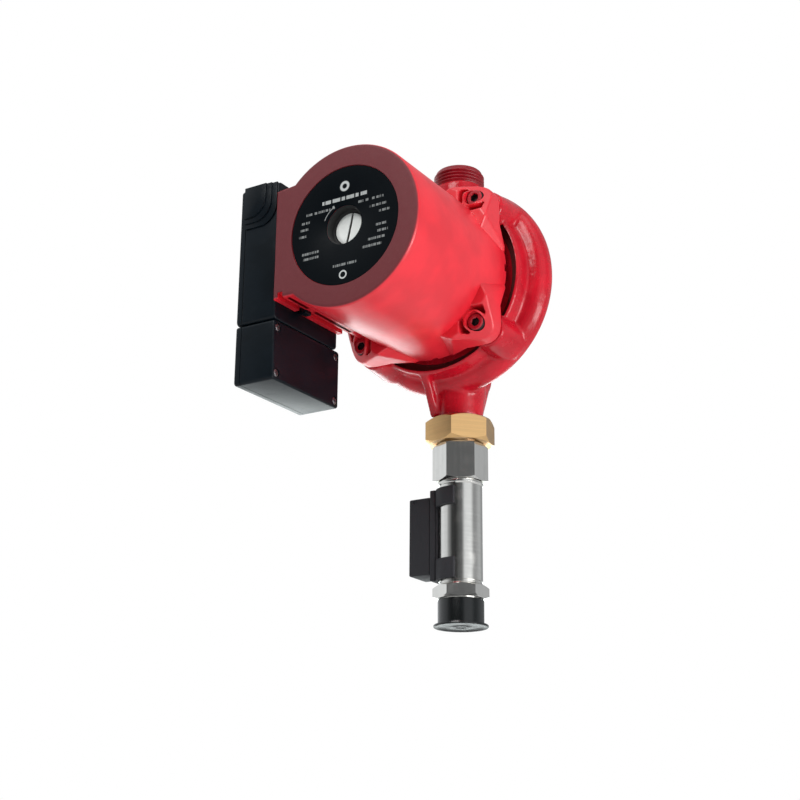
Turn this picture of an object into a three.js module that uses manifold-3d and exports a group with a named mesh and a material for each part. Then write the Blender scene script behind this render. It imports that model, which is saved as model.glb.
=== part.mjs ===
// Wet-rotor circulator pump with a flow switch hung on its lower port.
// Millimetres. +Z runs up the pipe axis. The motor axis crosses it at the origin and
// runs along Y, with the nameplate facing -Y and the terminal box on the -X side.
import * as THREE from "three";
import { mergeVertices } from "three/addons/utils/BufferGeometryUtils.js";
import Module from "manifold-3d";

const wasm = await Module();
wasm.setup();

// ---------------------------------------------------------------- driving dimensions

const GAP = 0.3; // clearance between touching pieces
const FINE = 48; // sides of a large turned piece
const ROUND = 30; // sides of a middle-sized turned piece
const SMALL = 18; // sides of a small turned piece
const TINY = 10; // sides of a screw or pin
const WELD = 1e-4;

const PORT = {
  half: 90, // half of the 180 mm port-to-port length
  threadR: 16.6, // G 1
  threadLength: 10.5,
  boreR: 12.5,
  neckR: 16.1,
  chamfer: 0.8,
};

const VOLUTE = {
  beadX: 1.1,
  beadZ: 1.4,
  beadY: -9.6,
  beadCentreR: 60.2,
  beadR: 9.1,
  backY: 24,
  backR: 24,
  ringY: -29.6,
  ringR: 56.7,
  lobeY: -37.5,
  lobeFrontR: 10.2,
  lobeRearR: 12.3,
  rebateR: 45,
  rebateY: -26.2,
  chamberR: 33,
  channelR: 61,
  eyeR: 16,
  suctionY: 12,
  bendZ: -52,
  suctionR: 10.5,
};

const MOTOR = {
  r: 50.4,
  frontY: -133.8,
  edge: 2.5,
  wall: 3.4,
  frontWall: 3.5,
  padX: -49.4,
  padTop: 33.6,
  padBottom: -36,
  padRearY: -66,
  plugHoleR: 12.1,
  webApexR: 57,
  webApexY: -56.2,
  webCornerR: 67.5,
  webCornerY: -47,
  webWall: 3,
  pocketY: -42,
  cornerR: 9.6,
  tubeR: 6.9,
};

const SCREW = { offset: 40.8, headR: 5, headY: -46.4, seatY: -40.4, shankR: 2.9, tipY: -24, hex: 5 };

const PLATE = { r: 36.8, holeR: 12.4, recess: 0.8, thickness: 0.45 };

const PLUG = { r: 9.75, faceY: -127.4, headY: -123, stemR: 5.6, stemY: -116, slot: 1.3 };

const CAN = { r: 24, wall: 0.8, frontY: -121.2, flangeY: -30.6, flangeR: 44.4, bossR: 9, bossY: -115, threadR: 6.4 };

const ROTOR = { shaftR: 5, frontY: -113, rearY: -6, coreFrontY: -97, coreRearY: -55, coreR: 21.2, sleeveR: 22 };

const BOX = {
  inner: -49.7,
  split: -73.4,
  outer: -77.9,
  frontY: -130.8,
  upperRearY: -66.5,
  lowerRearY: -63.6,
  top: 42,
  upperBottom: -46.4,
  lowerTop: -46.9,
  bottom: -83.7,
  wall: 2.5,
  cornerR: 2.5,
  grommetXY: [-62.5, -118],
  screwYZ: [-112, -20],
};

const SWITCH = {
  collarTop: -92.1,
  collarBottom: -95.5,
  collarR: 15.8,
  neckR: 13.2,
  hexTop: -98.7,
  hexBottom: -122.5,
  hexFlats: 30,
  tubeR: 13.5,
  tubeBoreR: 10.9,
  tubeBottom: -187,
  shoulder: -125,
  inletR: 8.5,
};

const NUT = { top: -82.7, bottom: -98.3, flats: 39, threadR: 16.9, lipR: 13.6, lipTop: -95.9, cornerAngle: -14.5 };

const OUTLET = {
  flats: 30,
  hexTop: -187.5,
  hexBottom: -195.4,
  threadR: 13.2,
  threadBottom: -210.9,
  boreR: 7,
  seat: -170,
};

const CAP = { r: 14.1, wall: 0.55, top: -196, bottom: -212.4, flangeR: 16.75, flange: 1.2 };

const SENSOR = { outer: -31.2, inner: -16.2, halfY: 10, top: -131.5, bottom: -180, wall: 1.8 };

const CLIP = { innerR: 13.8, outerR: 15.6, top: -127.5, bottom: -184.3, windowTop: -138.4, windowBottom: -171.7 };

// ---------------------------------------------------------------- materials

function finish(color, roughness, metalness) {
  return new THREE.MeshStandardMaterial({ color, roughness, metalness });
}

const FINISH = {
  castRed: finish(0xb3122a, 0.35, 0.0),
  motorRed: finish(0xc11a32, 0.42, 0.0),
  plateBlack: finish(0x131b21, 0.5, 0.0),
  plugWhite: finish(0xe4e6e0, 0.4, 0.0),
  boxBlack: finish(0x10181e, 0.55, 0.0),
  seal: finish(0x1a1a1a, 0.9, 0.0),
  steel: finish(0xb9bdbe, 0.3, 0.9),
  zinc: finish(0x6c6f72, 0.45, 0.8),
  brass: finish(0xc9a065, 0.3, 0.9),
  copper: finish(0xb5683a, 0.4, 0.8),
  ceramic: finish(0xe7e2d6, 0.4, 0.0),
  impeller: finish(0xd8d3c4, 0.5, 0.0),
  board: finish(0x1f5a35, 0.6, 0.0),
  magnet: finish(0x3b3d40, 0.5, 0.4),
};

// ---------------------------------------------------------------- solids

// Turns a closed geometry into a manifold solid whose faces point out.
function solid(geometry) {
  const bare = geometry.index ? geometry.toNonIndexed() : geometry.clone();
  bare.deleteAttribute("normal");
  bare.deleteAttribute("uv");
  const merged = mergeVertices(bare, WELD);
  const index = merged.index.array;
  const corners = [];
  for (let i = 0; i < index.length; i += 3) {
    const [a, b, c] = [index[i], index[i + 1], index[i + 2]];
    if (a !== b && b !== c && c !== a) corners.push(a, b, c);
  }
  const build = (order) =>
    new wasm.Manifold(
      new wasm.Mesh({
        numProp: 3,
        vertProperties: merged.attributes.position.array,
        triVerts: new Uint32Array(order),
      }),
    );
  const made = build(corners);
  return made.volume() > 0 ? made : build(corners.reverse());
}

function joined(...solids) {
  return solids.reduce((whole, next) => whole.add(next));
}

function cut(body, ...tools) {
  return tools.reduce((left, tool) => left.subtract(tool), body);
}

// A named mesh of a finished solid.
function part(name, body, material) {
  const { vertProperties, triVerts } = body.getMesh();
  const geometry = new THREE.BufferGeometry();
  geometry.setAttribute("position", new THREE.BufferAttribute(new Float32Array(vertProperties), 3));
  geometry.setIndex(new THREE.BufferAttribute(new Uint32Array(triVerts), 1));
  geometry.computeVertexNormals();
  const mesh = new THREE.Mesh(geometry, material);
  mesh.name = name;
  return mesh;
}

// Revolves a [radius, y] profile about the motor axis. A profile off the axis closes on itself.
function turned(profile, sides = ROUND) {
  const points = profile.map(([r, y]) => new THREE.Vector2(r, y));
  const first = points[0];
  const last = points[points.length - 1];
  if (first.x > 0 || last.x > 0) points.push(first.clone());
  return new THREE.LatheGeometry(points, sides);
}

// Revolves a [radius, z] profile about the pipe axis.
function turnedZ(profile, sides = ROUND) {
  return turned(profile, sides).rotateX(Math.PI / 2);
}

function ring(inner, outer, y0, y1, sides = ROUND) {
  return solid(turned([[inner, y0], [outer, y0], [outer, y1], [inner, y1]], sides));
}

function ringZ(inner, outer, z0, z1, sides = ROUND) {
  return solid(turnedZ([[inner, z0], [outer, z0], [outer, z1], [inner, z1]], sides));
}

function disc(r, y0, y1, sides = ROUND) {
  return solid(turned([[0, y0], [r, y0], [r, y1], [0, y1]], sides));
}

function discZ(r, z0, z1, sides = ROUND) {
  return solid(turnedZ([[0, z0], [r, z0], [r, z1], [0, z1]], sides));
}

function box([x0, y0, z0], [x1, y1, z1]) {
  const size = new THREE.BoxGeometry(x1 - x0, y1 - y0, z1 - z0);
  return solid(size.translate((x0 + x1) / 2, (y0 + y1) / 2, (z0 + z1) / 2));
}

// A round rod between two points.
function rod(from, to, r, sides = SMALL) {
  const start = new THREE.Vector3(...from);
  const along = new THREE.Vector3(...to).sub(start);
  const cylinder = new THREE.CylinderGeometry(r, r, along.length(), sides);
  const up = new THREE.Vector3(0, 1, 0);
  const turn = new THREE.Quaternion().setFromUnitVectors(up, along.clone().normalize());
  cylinder.applyQuaternion(turn);
  const middle = start.addScaledVector(along, 0.5);
  return solid(cylinder.translate(middle.x, middle.y, middle.z));
}

function ball([x, y, z], r) {
  return solid(new THREE.SphereGeometry(r, SMALL, 12).rotateX(Math.PI / 2).translate(x, y, z));
}

// A rectangle with rounded corners.
function roundedRectangle(x0, y0, x1, y1, r) {
  const shape = new THREE.Shape();
  shape.absarc(x1 - r, y0 + r, r, -Math.PI / 2, 0);
  shape.absarc(x1 - r, y1 - r, r, 0, Math.PI / 2);
  shape.absarc(x0 + r, y1 - r, r, Math.PI / 2, Math.PI);
  shape.absarc(x0 + r, y0 + r, r, Math.PI, Math.PI * 1.5);
  return shape;
}

// Extrudes an (x, z) outline along Y.
function slabY(shape, y0, y1, curveSegments = 6) {
  const slab = new THREE.ExtrudeGeometry(shape, { depth: y1 - y0, bevelEnabled: false, curveSegments });
  return solid(slab.rotateX(Math.PI / 2).translate(0, y1, 0));
}

// Extrudes a (y, z) outline along X.
function slabX(shape, x0, x1, curveSegments = 4) {
  const slab = new THREE.ExtrudeGeometry(shape, { depth: x1 - x0, bevelEnabled: false, curveSegments });
  const axes = new THREE.Matrix4().makeBasis(
    new THREE.Vector3(0, 1, 0),
    new THREE.Vector3(0, 0, 1),
    new THREE.Vector3(1, 0, 0),
  );
  return solid(slab.applyMatrix4(axes).translate(x0, 0, 0));
}

// A hexagonal bar along Z with one corner at the given angle, chamfered at both ends.
function hexBarZ(flats, z0, z1, cornerAngle) {
  const cornerR = flats / Math.sqrt(3);
  const bar = new THREE.CylinderGeometry(cornerR, cornerR, z1 - z0, 6);
  bar.rotateX(Math.PI / 2).rotateZ(THREE.MathUtils.degToRad(cornerAngle + 90));
  bar.translate(0, 0, (z0 + z1) / 2);
  const drop = (cornerR - flats / 2) * 0.7;
  const faceR = flats / 2;
  const chamfer = [[0, z0], [faceR, z0], [cornerR, z0 + drop], [cornerR, z1 - drop], [faceR, z1], [0, z1]];
  return solid(bar).intersect(solid(turnedZ(chamfer)));
}

// The four corners of the motor flange.
const CORNERS = [
  [SCREW.offset, SCREW.offset],
  [SCREW.offset, -SCREW.offset],
  [-SCREW.offset, -SCREW.offset],
  [-SCREW.offset, SCREW.offset],
];

function atCorners(make) {
  return joined(...CORNERS.map(([x, z]) => make().translate([x, 0, z])));
}

// ---------------------------------------------------------------- pump end

function voluteShell() {
  const v = VOLUTE;
  const arc = [];
  for (let degrees = 60; degrees >= -90; degrees -= 15) {
    const t = THREE.MathUtils.degToRad(degrees);
    arc.push([v.beadCentreR + v.beadR * Math.cos(t), v.beadY + v.beadR * Math.sin(t)]);
  }
  const back = [[0, v.backY], [v.backR, v.backY], [v.backR + 4, v.backY - 2.5], [42, 12]];
  const front = [0, v.beadY - v.beadR];
  const bead = solid(turned([...back, ...arc, front], FINE)).translate([v.beadX, 0, v.beadZ]);
  const ledge = solid(turned([[0, v.ringY], [v.ringR, v.ringY], [v.ringR + 2, -17], [0, -17]], FINE));
  const lobes = atCorners(() => {
    const height = 22;
    const lobe = new THREE.CylinderGeometry(v.lobeRearR, v.lobeFrontR, height, SMALL);
    return solid(lobe.translate(0, v.lobeY + height / 2, 0));
  });
  return joined(bead, ledge, lobes);
}

function ports() {
  const p = PORT;
  const threadStart = p.half - p.threadLength;
  const top = [
    [0, 40],
    [17.2, 40],
    [p.neckR, threadStart - 4],
    [p.neckR, threadStart],
    [p.threadR, threadStart + 0.4],
    [p.threadR, p.half - p.chamfer],
    [p.threadR - p.chamfer, p.half],
    [0, p.half],
  ];
  const bottom = [
    [0, -p.half],
    [p.threadR - p.chamfer, -p.half],
    [p.threadR, -p.half + p.chamfer],
    [p.threadR, -81.8],
    [14.2, -81.4],
    [14.4, -79],
    [p.neckR, -67],
    [p.neckR, -40],
    [0, -40],
  ];
  return joined(solid(turnedZ(top)), solid(turnedZ(bottom)));
}

function pumpHousing() {
  const v = VOLUTE;
  const p = PORT;
  const rib = new THREE.Shape([
    new THREE.Vector2(-24, -50),
    new THREE.Vector2(-24, -60),
    new THREE.Vector2(-13, -79),
    new THREE.Vector2(-2, -79),
    new THREE.Vector2(-2, -50),
  ]);
  const bend = [0, v.suctionY, v.bendZ];
  const outerR = v.suctionR + 3.9;
  const outside = joined(
    voluteShell(),
    ports(),
    slabX(rib, -13.5, -8.5),
    rod(bend, [0, v.suctionY, 4], outerR),
    ball(bend, outerR + 0.1),
    rod([0, 0, -79], bend, outerR - 0.4),
  );
  const chamber = [
    [0, -45],
    [v.rebateR, -45],
    [v.rebateR, v.rebateY],
    [v.chamberR, v.rebateY],
    [v.chamberR, -16.5],
    [55, -15.5],
    [v.channelR, -12],
    [v.channelR, -7],
    [56, -3.5],
    [v.chamberR + 2, -3.5],
    [v.chamberR, -9.5],
    [v.eyeR, -9.5],
    [v.eyeR, -2],
    [0, -2],
  ];
  const tapped = atCorners(() => disc(3.2, -40, -21, TINY));
  return cut(
    outside,
    solid(turned(chamber, ROUND)),
    disc(13.5, -4, v.suctionY, SMALL),
    discZ(p.boreR, 56, p.half + 2, ROUND),
    discZ(p.boreR, -p.half - 2, -73, ROUND),
    rod([0, 0, -82], bend, v.suctionR - 1),
    ball(bend, v.suctionR),
    rod(bend, [0, v.suctionY, 0], v.suctionR - 0.1),
    tapped,
    disc(MOTOR.r + GAP, -45, v.ringY, FINE),
  );
}

// Curved vane between the impeller shrouds, as a thin arc in the (x, z) plane.
function vane(y0, y1, turn) {
  const shape = new THREE.Shape();
  shape.absarc(18, 0, 11.8, Math.PI * 0.35, Math.PI * 0.92);
  shape.absarc(18, 0, 10.2, Math.PI * 0.92, Math.PI * 0.35, true);
  return slabY(shape, y0, y1, 8).rotate([0, turn, 0]);
}

function impeller() {
  const hub = ring(5.3, 8.6, -23.5, -10, SMALL);
  const rearShroud = ring(5.3, 30, -23.5, -21.6);
  const neck = [[11.2, -8.5], [13, -8.5], [13, -11], [30, -14.6], [30, -16.2], [12.6, -12.7], [11.2, -12.4]];
  const frontShroud = solid(turned(neck, ROUND));
  const vanes = [0, 1, 2, 3, 4, 5].map((i) => vane(-21.8, -13.4, i * 60));
  const space = solid(turned([[0, -24], [30, -24], [30, -15.4], [12.6, -12.6], [0, -12.6]], ROUND));
  return joined(hub, rearShroud, frontShroud, joined(...vanes).intersect(space));
}

function pumpEnd() {
  const v = VOLUTE;
  return [
    part("pump_housing", pumpHousing(), FINISH.castRed),
    part("neck_ring", ring(13.6, v.eyeR - 0.2, -9.2, -2.6), FINISH.steel),
    part("housing_gasket", ring(38, 44.4, -27.2, -26.4), FINISH.seal),
    part("impeller", impeller(), FINISH.impeller),
    part("impeller_cone", solid(turned([[5.3, -9.7], [8, -9.7], [6, -5], [5.3, -5]], SMALL)), FINISH.steel),
  ];
}

// ---------------------------------------------------------------- motor

function motorOutside() {
  const m = MOTOR;
  const e = m.edge;
  const y = m.frontY;
  const body = [
    [0, y],
    [m.r - e, y],
    [m.r - e * 0.3, y + e * 0.3],
    [m.r, y + e],
    [m.r, VOLUTE.ringY - GAP],
    [0, VOLUTE.ringY - GAP],
  ];
  const barrel = solid(turned(body, FINE));
  const pad = box([m.padX - 1.6, y + 0.6, m.padBottom], [-20, m.padRearY, m.padTop]);
  const half = m.r + 0.06;
  const square = slabY(roundedRectangle(-half, -half, half, half, m.cornerR), -60, VOLUTE.lobeY - GAP);
  const cone = [[0, m.webApexY], [m.webApexR, m.webApexY], [m.webCornerR, m.webCornerY], [80, -36], [0, -36]];
  const flange = square.intersect(solid(turned(cone, ROUND)));
  return joined(barrel, pad, flange);
}

function flangePockets() {
  const m = MOTOR;
  const inset = m.r - m.webWall;
  const well = slabY(roundedRectangle(-inset, -inset, inset, inset, m.cornerR - m.webWall), -62, m.pocketY);
  const tubes = atCorners(() => disc(m.tubeR, -62, -30, SMALL));
  const pad = box([-60, -62, m.padBottom], [-20, -30, m.padTop]);
  return cut(well, disc(m.r - 0.2, -63, -29, FINE), tubes, pad);
}

function statorHousing() {
  const m = MOTOR;
  const y = m.frontY;
  const inner = m.r - m.wall;
  const railGroove = box([-45.6, y - 1, m.padBottom - 1], [-42, m.padRearY + 1, m.padBottom + 2.5]);
  const notch = box([-50, -112, m.padBottom - 1], [-37.5, -103.5, m.padBottom + 3.5]);
  const beyondPad = box([m.padX - 5, y - 1, -40.3], [m.padX, m.padRearY + 0.5, 40.3]);
  return cut(
    motorOutside(),
    flangePockets(),
    beyondPad,
    disc(inner, y + m.frontWall, -20, FINE),
    disc(m.plugHoleR, y - 1, y + 5),
    disc(PLATE.r + 0.25, y - 1, y + PLATE.recess, FINE),
    atCorners(() => disc(5.6, -62, SCREW.seatY, SMALL)),
    atCorners(() => disc(3.4, -62, -30, TINY)),
    railGroove,
    notch,
    rod([-60, -95, 0], [-40, -95, 0], 6),
  );
}

function statorCore() {
  const slots = [];
  for (let i = 0; i < 12; i += 1) {
    const slot = box([-2.6, -111, 23], [2.6, -43, 33]);
    slots.push(slot.rotate([0, i * 30, 0]));
  }
  return cut(ring(CAN.r + 0.4, 46.6, -104, -50, 48), ...slots);
}

function rotorCan() {
  const c = CAN;
  const inner = c.r - c.wall;
  const profile = [
    [c.threadR, c.frontY],
    [c.r, c.frontY],
    [c.r, c.flangeY - c.wall],
    [c.flangeR, c.flangeY - c.wall],
    [c.flangeR, c.flangeY],
    [inner, c.flangeY],
    [inner, c.frontY + c.wall],
    [c.bossR, c.frontY + c.wall],
    [c.bossR, c.bossY],
    [c.threadR, c.bossY],
  ];
  return solid(turned(profile, ROUND));
}

function bearingPlate() {
  const profile = [
    [10.8, -46],
    [13, -46],
    [13, -29.2],
    [44.2, -29.2],
    [44.2, -27.5],
    [5.8, -27.5],
    [5.8, -33.4],
    [10.8, -33.4],
  ];
  return solid(turned(profile, ROUND));
}

function bearingCarrier() {
  const rim = CAN.r - CAN.wall - 0.2;
  const profile = [[10.8, -111], [rim, -107], [rim, -105.5], [13, -105.5], [13, -101], [10.8, -101]];
  return solid(turned(profile, ROUND));
}

function flangeScrew() {
  const s = SCREW;
  const head = disc(s.headR, s.headY, s.seatY - 0.1, SMALL);
  const shank = disc(s.shankR, s.seatY - 0.2, s.tipY, TINY);
  const socketR = s.hex / Math.sqrt(3);
  return cut(joined(head, shank), disc(socketR, s.headY - 1, s.headY + 3, 6));
}

function ventPlug() {
  const p = PLUG;
  const head = [[0, p.faceY], [p.r - 0.5, p.faceY], [p.r, p.faceY + 0.5], [p.r, p.headY], [p.stemR, p.headY]];
  const stem = [[p.stemR, p.stemY - 0.6], [p.stemR - 0.6, p.stemY], [0, p.stemY]];
  const plug = solid(turned([...head, ...stem], ROUND));
  const half = p.slot / 2;
  return cut(plug, box([-half, p.faceY - 1, -p.r - 1], [half, p.faceY + 2, p.r + 1]).rotate([0, 12, 0]));
}

function motor() {
  const y = MOTOR.frontY;
  const plateY = y + PLATE.recess - 0.15;
  const r = ROTOR;
  const pieces = [
    part("stator_housing", statorHousing(), FINISH.motorRed),
    part("nameplate", ring(PLATE.holeR, PLATE.r, plateY - PLATE.thickness, plateY, FINE), FINISH.plateBlack),
    part("stator_core", statorCore(), FINISH.zinc),
    part("winding_front", ring(27, 43, -116, -104.4), FINISH.copper),
    part("winding_rear", ring(27, 43, -49.6, -37), FINISH.copper),
    part("rotor_can", rotorCan(), FINISH.steel),
    part("can_seal", ring(39, 42, -30.5, -29.3), FINISH.seal),
    part("bearing_plate", bearingPlate(), FINISH.steel),
    part("front_bearing", ring(5.15, 10.5, -111, -100.5, SMALL), FINISH.ceramic),
    part("bearing_carrier", bearingCarrier(), FINISH.steel),
    part("rear_bearing", ring(5.15, 10.5, -45.5, -33.7, SMALL), FINISH.ceramic),
    part("shaft", disc(r.shaftR, r.frontY, r.rearY, SMALL), FINISH.ceramic),
    part("rotor_core", ring(5.2, r.coreR, r.coreFrontY, r.coreRearY), FINISH.zinc),
    part("rotor_sleeve", ring(r.coreR + 0.2, r.sleeveR, r.coreFrontY - 1, r.coreRearY + 1), FINISH.steel),
    part("thrust_ring", ring(5.2, 9.5, -100.2, -98.3, SMALL), FINISH.seal),
    part("vent_plug", ventPlug(), FINISH.plugWhite),
    part("plug_seal", ring(PLUG.stemR + 0.3, 8.2, -122.8, -121.4, SMALL), FINISH.seal),
  ];
  CORNERS.forEach(([x, z], i) => {
    pieces.push(part(`flange_screw_${i + 1}`, flangeScrew().translate([x, 0, z]), FINISH.zinc));
  });
  return pieces;
}

// ---------------------------------------------------------------- electrical boxes

// A tray open towards -X, with its floor against the motor.
function tray(y0, y1, z0, z1) {
  const b = BOX;
  const w = b.wall;
  const outside = slabX(roundedRectangle(y0, z0, y1, z1, b.cornerR), b.split, b.inner);
  const inside = slabX(roundedRectangle(y0 + w, z0 + w, y1 - w, z1 - w, 1), b.split - 1, b.inner - w);
  return cut(outside, inside);
}

// A shallow lid that closes a tray on its -X side.
function lid(y0, y1, z0, z1, x1) {
  const b = BOX;
  const w = 2;
  const outside = slabX(roundedRectangle(y0, z0, y1, z1, b.cornerR), b.outer, x1);
  const inside = slabX(roundedRectangle(y0 + w, z0 + w, y1 - w, z1 - w, 1), b.outer + w, x1 + 1);
  return cut(outside, inside);
}

function terminalBox() {
  const b = BOX;
  const steps = [0, 1, 2].map((i) => {
    const low = 15 + i * 3;
    const right = -50.5 - i * 3.5;
    const outline = new THREE.Shape();
    outline.moveTo(b.split, b.top);
    outline.lineTo(b.split, low);
    outline.absarc(right - 12, low + 12, 12, -Math.PI / 2, 0);
    outline.lineTo(right, b.top);
    return slabY(outline, b.frontY - 1 - i, b.frontY + 1, 6);
  });
  const [gx, gy] = BOX.grommetXY;
  const [sy, sz] = BOX.screwYZ;
  const base = cut(
    joined(
      tray(b.frontY, b.upperRearY, b.upperBottom, b.top),
      ...steps,
      rod([b.split + 1, sy, sz], [b.inner - 1, sy, sz], 4, TINY),
    ),
    rod([b.inner - 5, -95, 0], [b.inner + 1, -95, 0], 6),
    rod([gx, gy, b.top - 5], [gx, gy, b.top + 1], 7.2),
    rod([b.split - 1, sy, sz], [-56, sy, sz], 1.8, TINY),
  );
  const grommet = [[3.8, 38], [8.6, 38], [8.6, 39.2], [6.9, 39.2], [6.9, 42.3], [8.6, 42.3], [8.2, 43.4], [3.8, 43.4]];
  const cover = cut(
    lid(b.frontY, b.upperRearY, b.upperBottom, b.top, b.split - 0.6),
    rod([b.outer - 1, sy, sz], [b.outer + 6, sy, sz], 2.4, TINY),
  );
  const gasket = cut(
    slabX(roundedRectangle(b.frontY + 0.4, b.upperBottom + 0.4, b.upperRearY - 0.4, b.top - 0.4, 2), -73.9, -73.5),
    slabX(roundedRectangle(b.frontY + 2, b.upperBottom + 2, b.upperRearY - 2, b.top - 2, 1), -75, -73),
  );
  const screw = joined(
    rod([b.outer + 0.1, sy, sz], [b.outer + 1.8, sy, sz], 2.1, TINY),
    rod([b.outer + 1.7, sy, sz], [-58, sy, sz], 1.5, TINY),
  );
  return [
    part("terminal_base", base, FINISH.boxBlack),
    part("terminal_cover", cover, FINISH.boxBlack),
    part("box_gasket", gasket, FINISH.seal),
    part("cover_screw", screw, FINISH.zinc),
    part("cable_grommet", solid(turnedZ(grommet, SMALL)).translate([gx, gy, 0]), FINISH.seal),
    part("terminal_block", box([-62, -90, 14], [-52.6, -74, 36]), FINISH.plugWhite),
    part("run_capacitor", rod([-63, -85, -42], [-63, -85, -6], 9.2), FINISH.magnet),
    part("box_clip", box([-49.2, -111.5, -40], [-38, -104, -33]), FINISH.boxBlack),
  ];
}

function controlBox() {
  const b = BOX;
  const [y0, y1, z0, z1] = [b.frontY, b.lowerRearY, b.bottom, b.lowerTop];
  const screwSpots = [
    [y0 + 4.2, z1 - 4],
    [y0 + 4.2, z0 + 4.5],
    [y1 - 3.2, z1 - 4],
    [y1 - 3.2, z0 + 4.5],
  ];
  const posts = screwSpots.map(([y, z]) => rod([b.split + 1, y, z], [b.inner - 1, y, z], 3.4, TINY));
  const heads = screwSpots.map(([y, z]) => rod([b.inner - 1.2, y, z], [b.inner + 1, y, z], 2.5, TINY));
  const holes = screwSpots.map(([y, z]) => rod([b.split - 2, y, z], [b.inner + 1, y, z], 1.4, TINY));
  const pieces = [
    part("control_base", cut(joined(tray(y0, y1, z0, z1), ...posts), ...heads, ...holes), FINISH.boxBlack),
    part("control_cover", lid(y0, y1, z0, z1, b.split - 0.3), FINISH.boxBlack),
    part("control_board", box([-56, -122.5, -75], [-54.4, -72, -54]), FINISH.board),
    part("relay", box([-70, -115, -74], [-56.3, -95, -60]), FINISH.plateBlack),
  ];
  screwSpots.forEach(([y, z], i) => {
    const screw = joined(
      rod([b.inner - 1, y, z], [b.inner - 0.1, y, z], 2.2, TINY),
      rod([b.inner - 16, y, z], [b.inner - 0.9, y, z], 1.1, 8),
    );
    pieces.push(part(`control_screw_${i + 1}`, screw, FINISH.zinc));
  });
  return pieces;
}

// ---------------------------------------------------------------- flow switch

function unionNut() {
  const n = NUT;
  return cut(
    hexBarZ(n.flats, n.bottom, n.top, n.cornerAngle),
    discZ(n.threadR, n.lipTop, n.top + 1),
    discZ(n.lipR, n.bottom - 1, n.lipTop + 1),
  );
}

function switchBody() {
  const s = SWITCH;
  const outside = joined(
    discZ(s.collarR, s.collarBottom, s.collarTop),
    discZ(s.neckR, s.hexTop - 1, s.collarBottom + 1),
    hexBarZ(s.hexFlats, s.hexBottom, s.hexTop, -90),
    discZ(s.tubeR, s.tubeBottom, s.hexBottom + 2),
  );
  return cut(outside, discZ(s.inletR, s.shoulder - 1, -80), discZ(s.tubeBoreR, s.tubeBottom - 1, s.shoulder));
}

function outletFitting() {
  const o = OUTLET;
  const spigot = discZ(SWITCH.tubeBoreR - 0.3, o.hexTop - 1, o.seat);
  const thread = [
    [0, o.threadBottom],
    [o.threadR - 0.8, o.threadBottom],
    [o.threadR, o.threadBottom + 0.8],
    [o.threadR, o.hexBottom + 1],
    [0, o.hexBottom + 1],
  ];
  const bore = discZ(o.boreR, o.threadBottom - 1, o.seat + 1);
  return cut(joined(spigot, hexBarZ(o.flats, o.hexBottom, o.hexTop, -90), solid(turnedZ(thread))), bore);
}

// A round wire wound into a spring about the pipe axis.
class Helix extends THREE.Curve {
  constructor(r, z0, z1, turns) {
    super();
    Object.assign(this, { r, z0, z1, turns });
  }

  getPoint(t, target = new THREE.Vector3()) {
    const angle = t * this.turns * Math.PI * 2;
    return target.set(this.r * Math.cos(angle), this.r * Math.sin(angle), this.z0 + t * (this.z1 - this.z0));
  }
}

function returnSpring() {
  const wireR = 0.5;
  const turns = 5;
  const section = new THREE.Shape();
  section.absarc(0, 0, wireR, 0, Math.PI * 2);
  const path = new Helix(9.6, -143.6, -126, turns);
  const wound = { steps: turns * 10, extrudePath: path, curveSegments: 2, bevelEnabled: false };
  return solid(new THREE.ExtrudeGeometry(section, wound));
}

function flowPiston() {
  const profile = [
    [4, -169.7],
    [8, -169.7],
    [8, -167],
    [6.2, -165],
    [6.2, -149],
    [10.6, -149],
    [10.6, -144.6],
    [4, -144.6],
  ];
  return solid(turnedZ(profile, SMALL));
}

function protectiveCap() {
  const c = CAP;
  const profile = [
    [0, c.bottom],
    [c.flangeR, c.bottom],
    [c.flangeR, c.bottom + c.flange],
    [c.r, c.bottom + c.flange + 1],
    [c.r, c.top],
    [c.r - c.wall, c.top],
    [c.r - c.wall, c.bottom + 1.2],
    [0, c.bottom + 1.2],
  ];
  return solid(turnedZ(profile));
}

function sensorClip() {
  const c = CLIP;
  const sleeve = ringZ(c.innerR, c.outerR, c.bottom, c.top, 48);
  const saddle = cut(
    box([-c.outerR - 0.3, -14, c.bottom], [-9, 14, c.top]),
    discZ(c.innerR, c.bottom - 1, c.top + 1, 48),
  );
  const mouth = box([3, -20, c.bottom - 1], [20, 20, c.top + 1]);
  const windows = [-1, 1].map((side) => {
    const near = side * 8;
    const far = side * 20;
    const lowY = Math.min(near, far);
    return box([-10.6, lowY, c.windowBottom], [6, lowY + 12, c.windowTop]);
  });
  return cut(joined(sleeve, saddle), mouth, ...windows);
}

function sensorCase() {
  const s = SENSOR;
  const w = s.wall;
  const outside = box([s.outer, -s.halfY, s.bottom], [s.inner, s.halfY, s.top]);
  const inside = box([s.outer + w, -s.halfY + w, s.bottom + w], [s.inner + 1, s.halfY - w, s.top - w]);
  return cut(outside, inside);
}

function flowSwitch() {
  return [
    part("union_seal", ringZ(10.5, 15, -91.8, -90.3), FINISH.seal),
    part("union_nut", unionNut(), FINISH.brass),
    part("switch_body", switchBody(), FINISH.steel),
    part("outlet_fitting", outletFitting(), FINISH.steel),
    part("flow_piston", flowPiston(), FINISH.ceramic),
    part("piston_magnet", ringZ(6.5, 9.8, -164, -150, SMALL), FINISH.magnet),
    part("return_spring", returnSpring(), FINISH.steel),
    part("protective_cap", protectiveCap(), FINISH.boxBlack),
    part("sensor_clip", sensorClip(), FINISH.boxBlack),
    part("sensor_case", sensorCase(), FINISH.boxBlack),
    part("reed_switch", rod([-23, 0, -170], [-23, 0, -142], 1.6, TINY), FINISH.ceramic),
  ];
}

// ---------------------------------------------------------------- assembly

const pump = new THREE.Group();
pump.add(...pumpEnd(), ...motor(), ...terminalBox(), ...controlBox(), ...flowSwitch());

export default pump;
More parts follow.
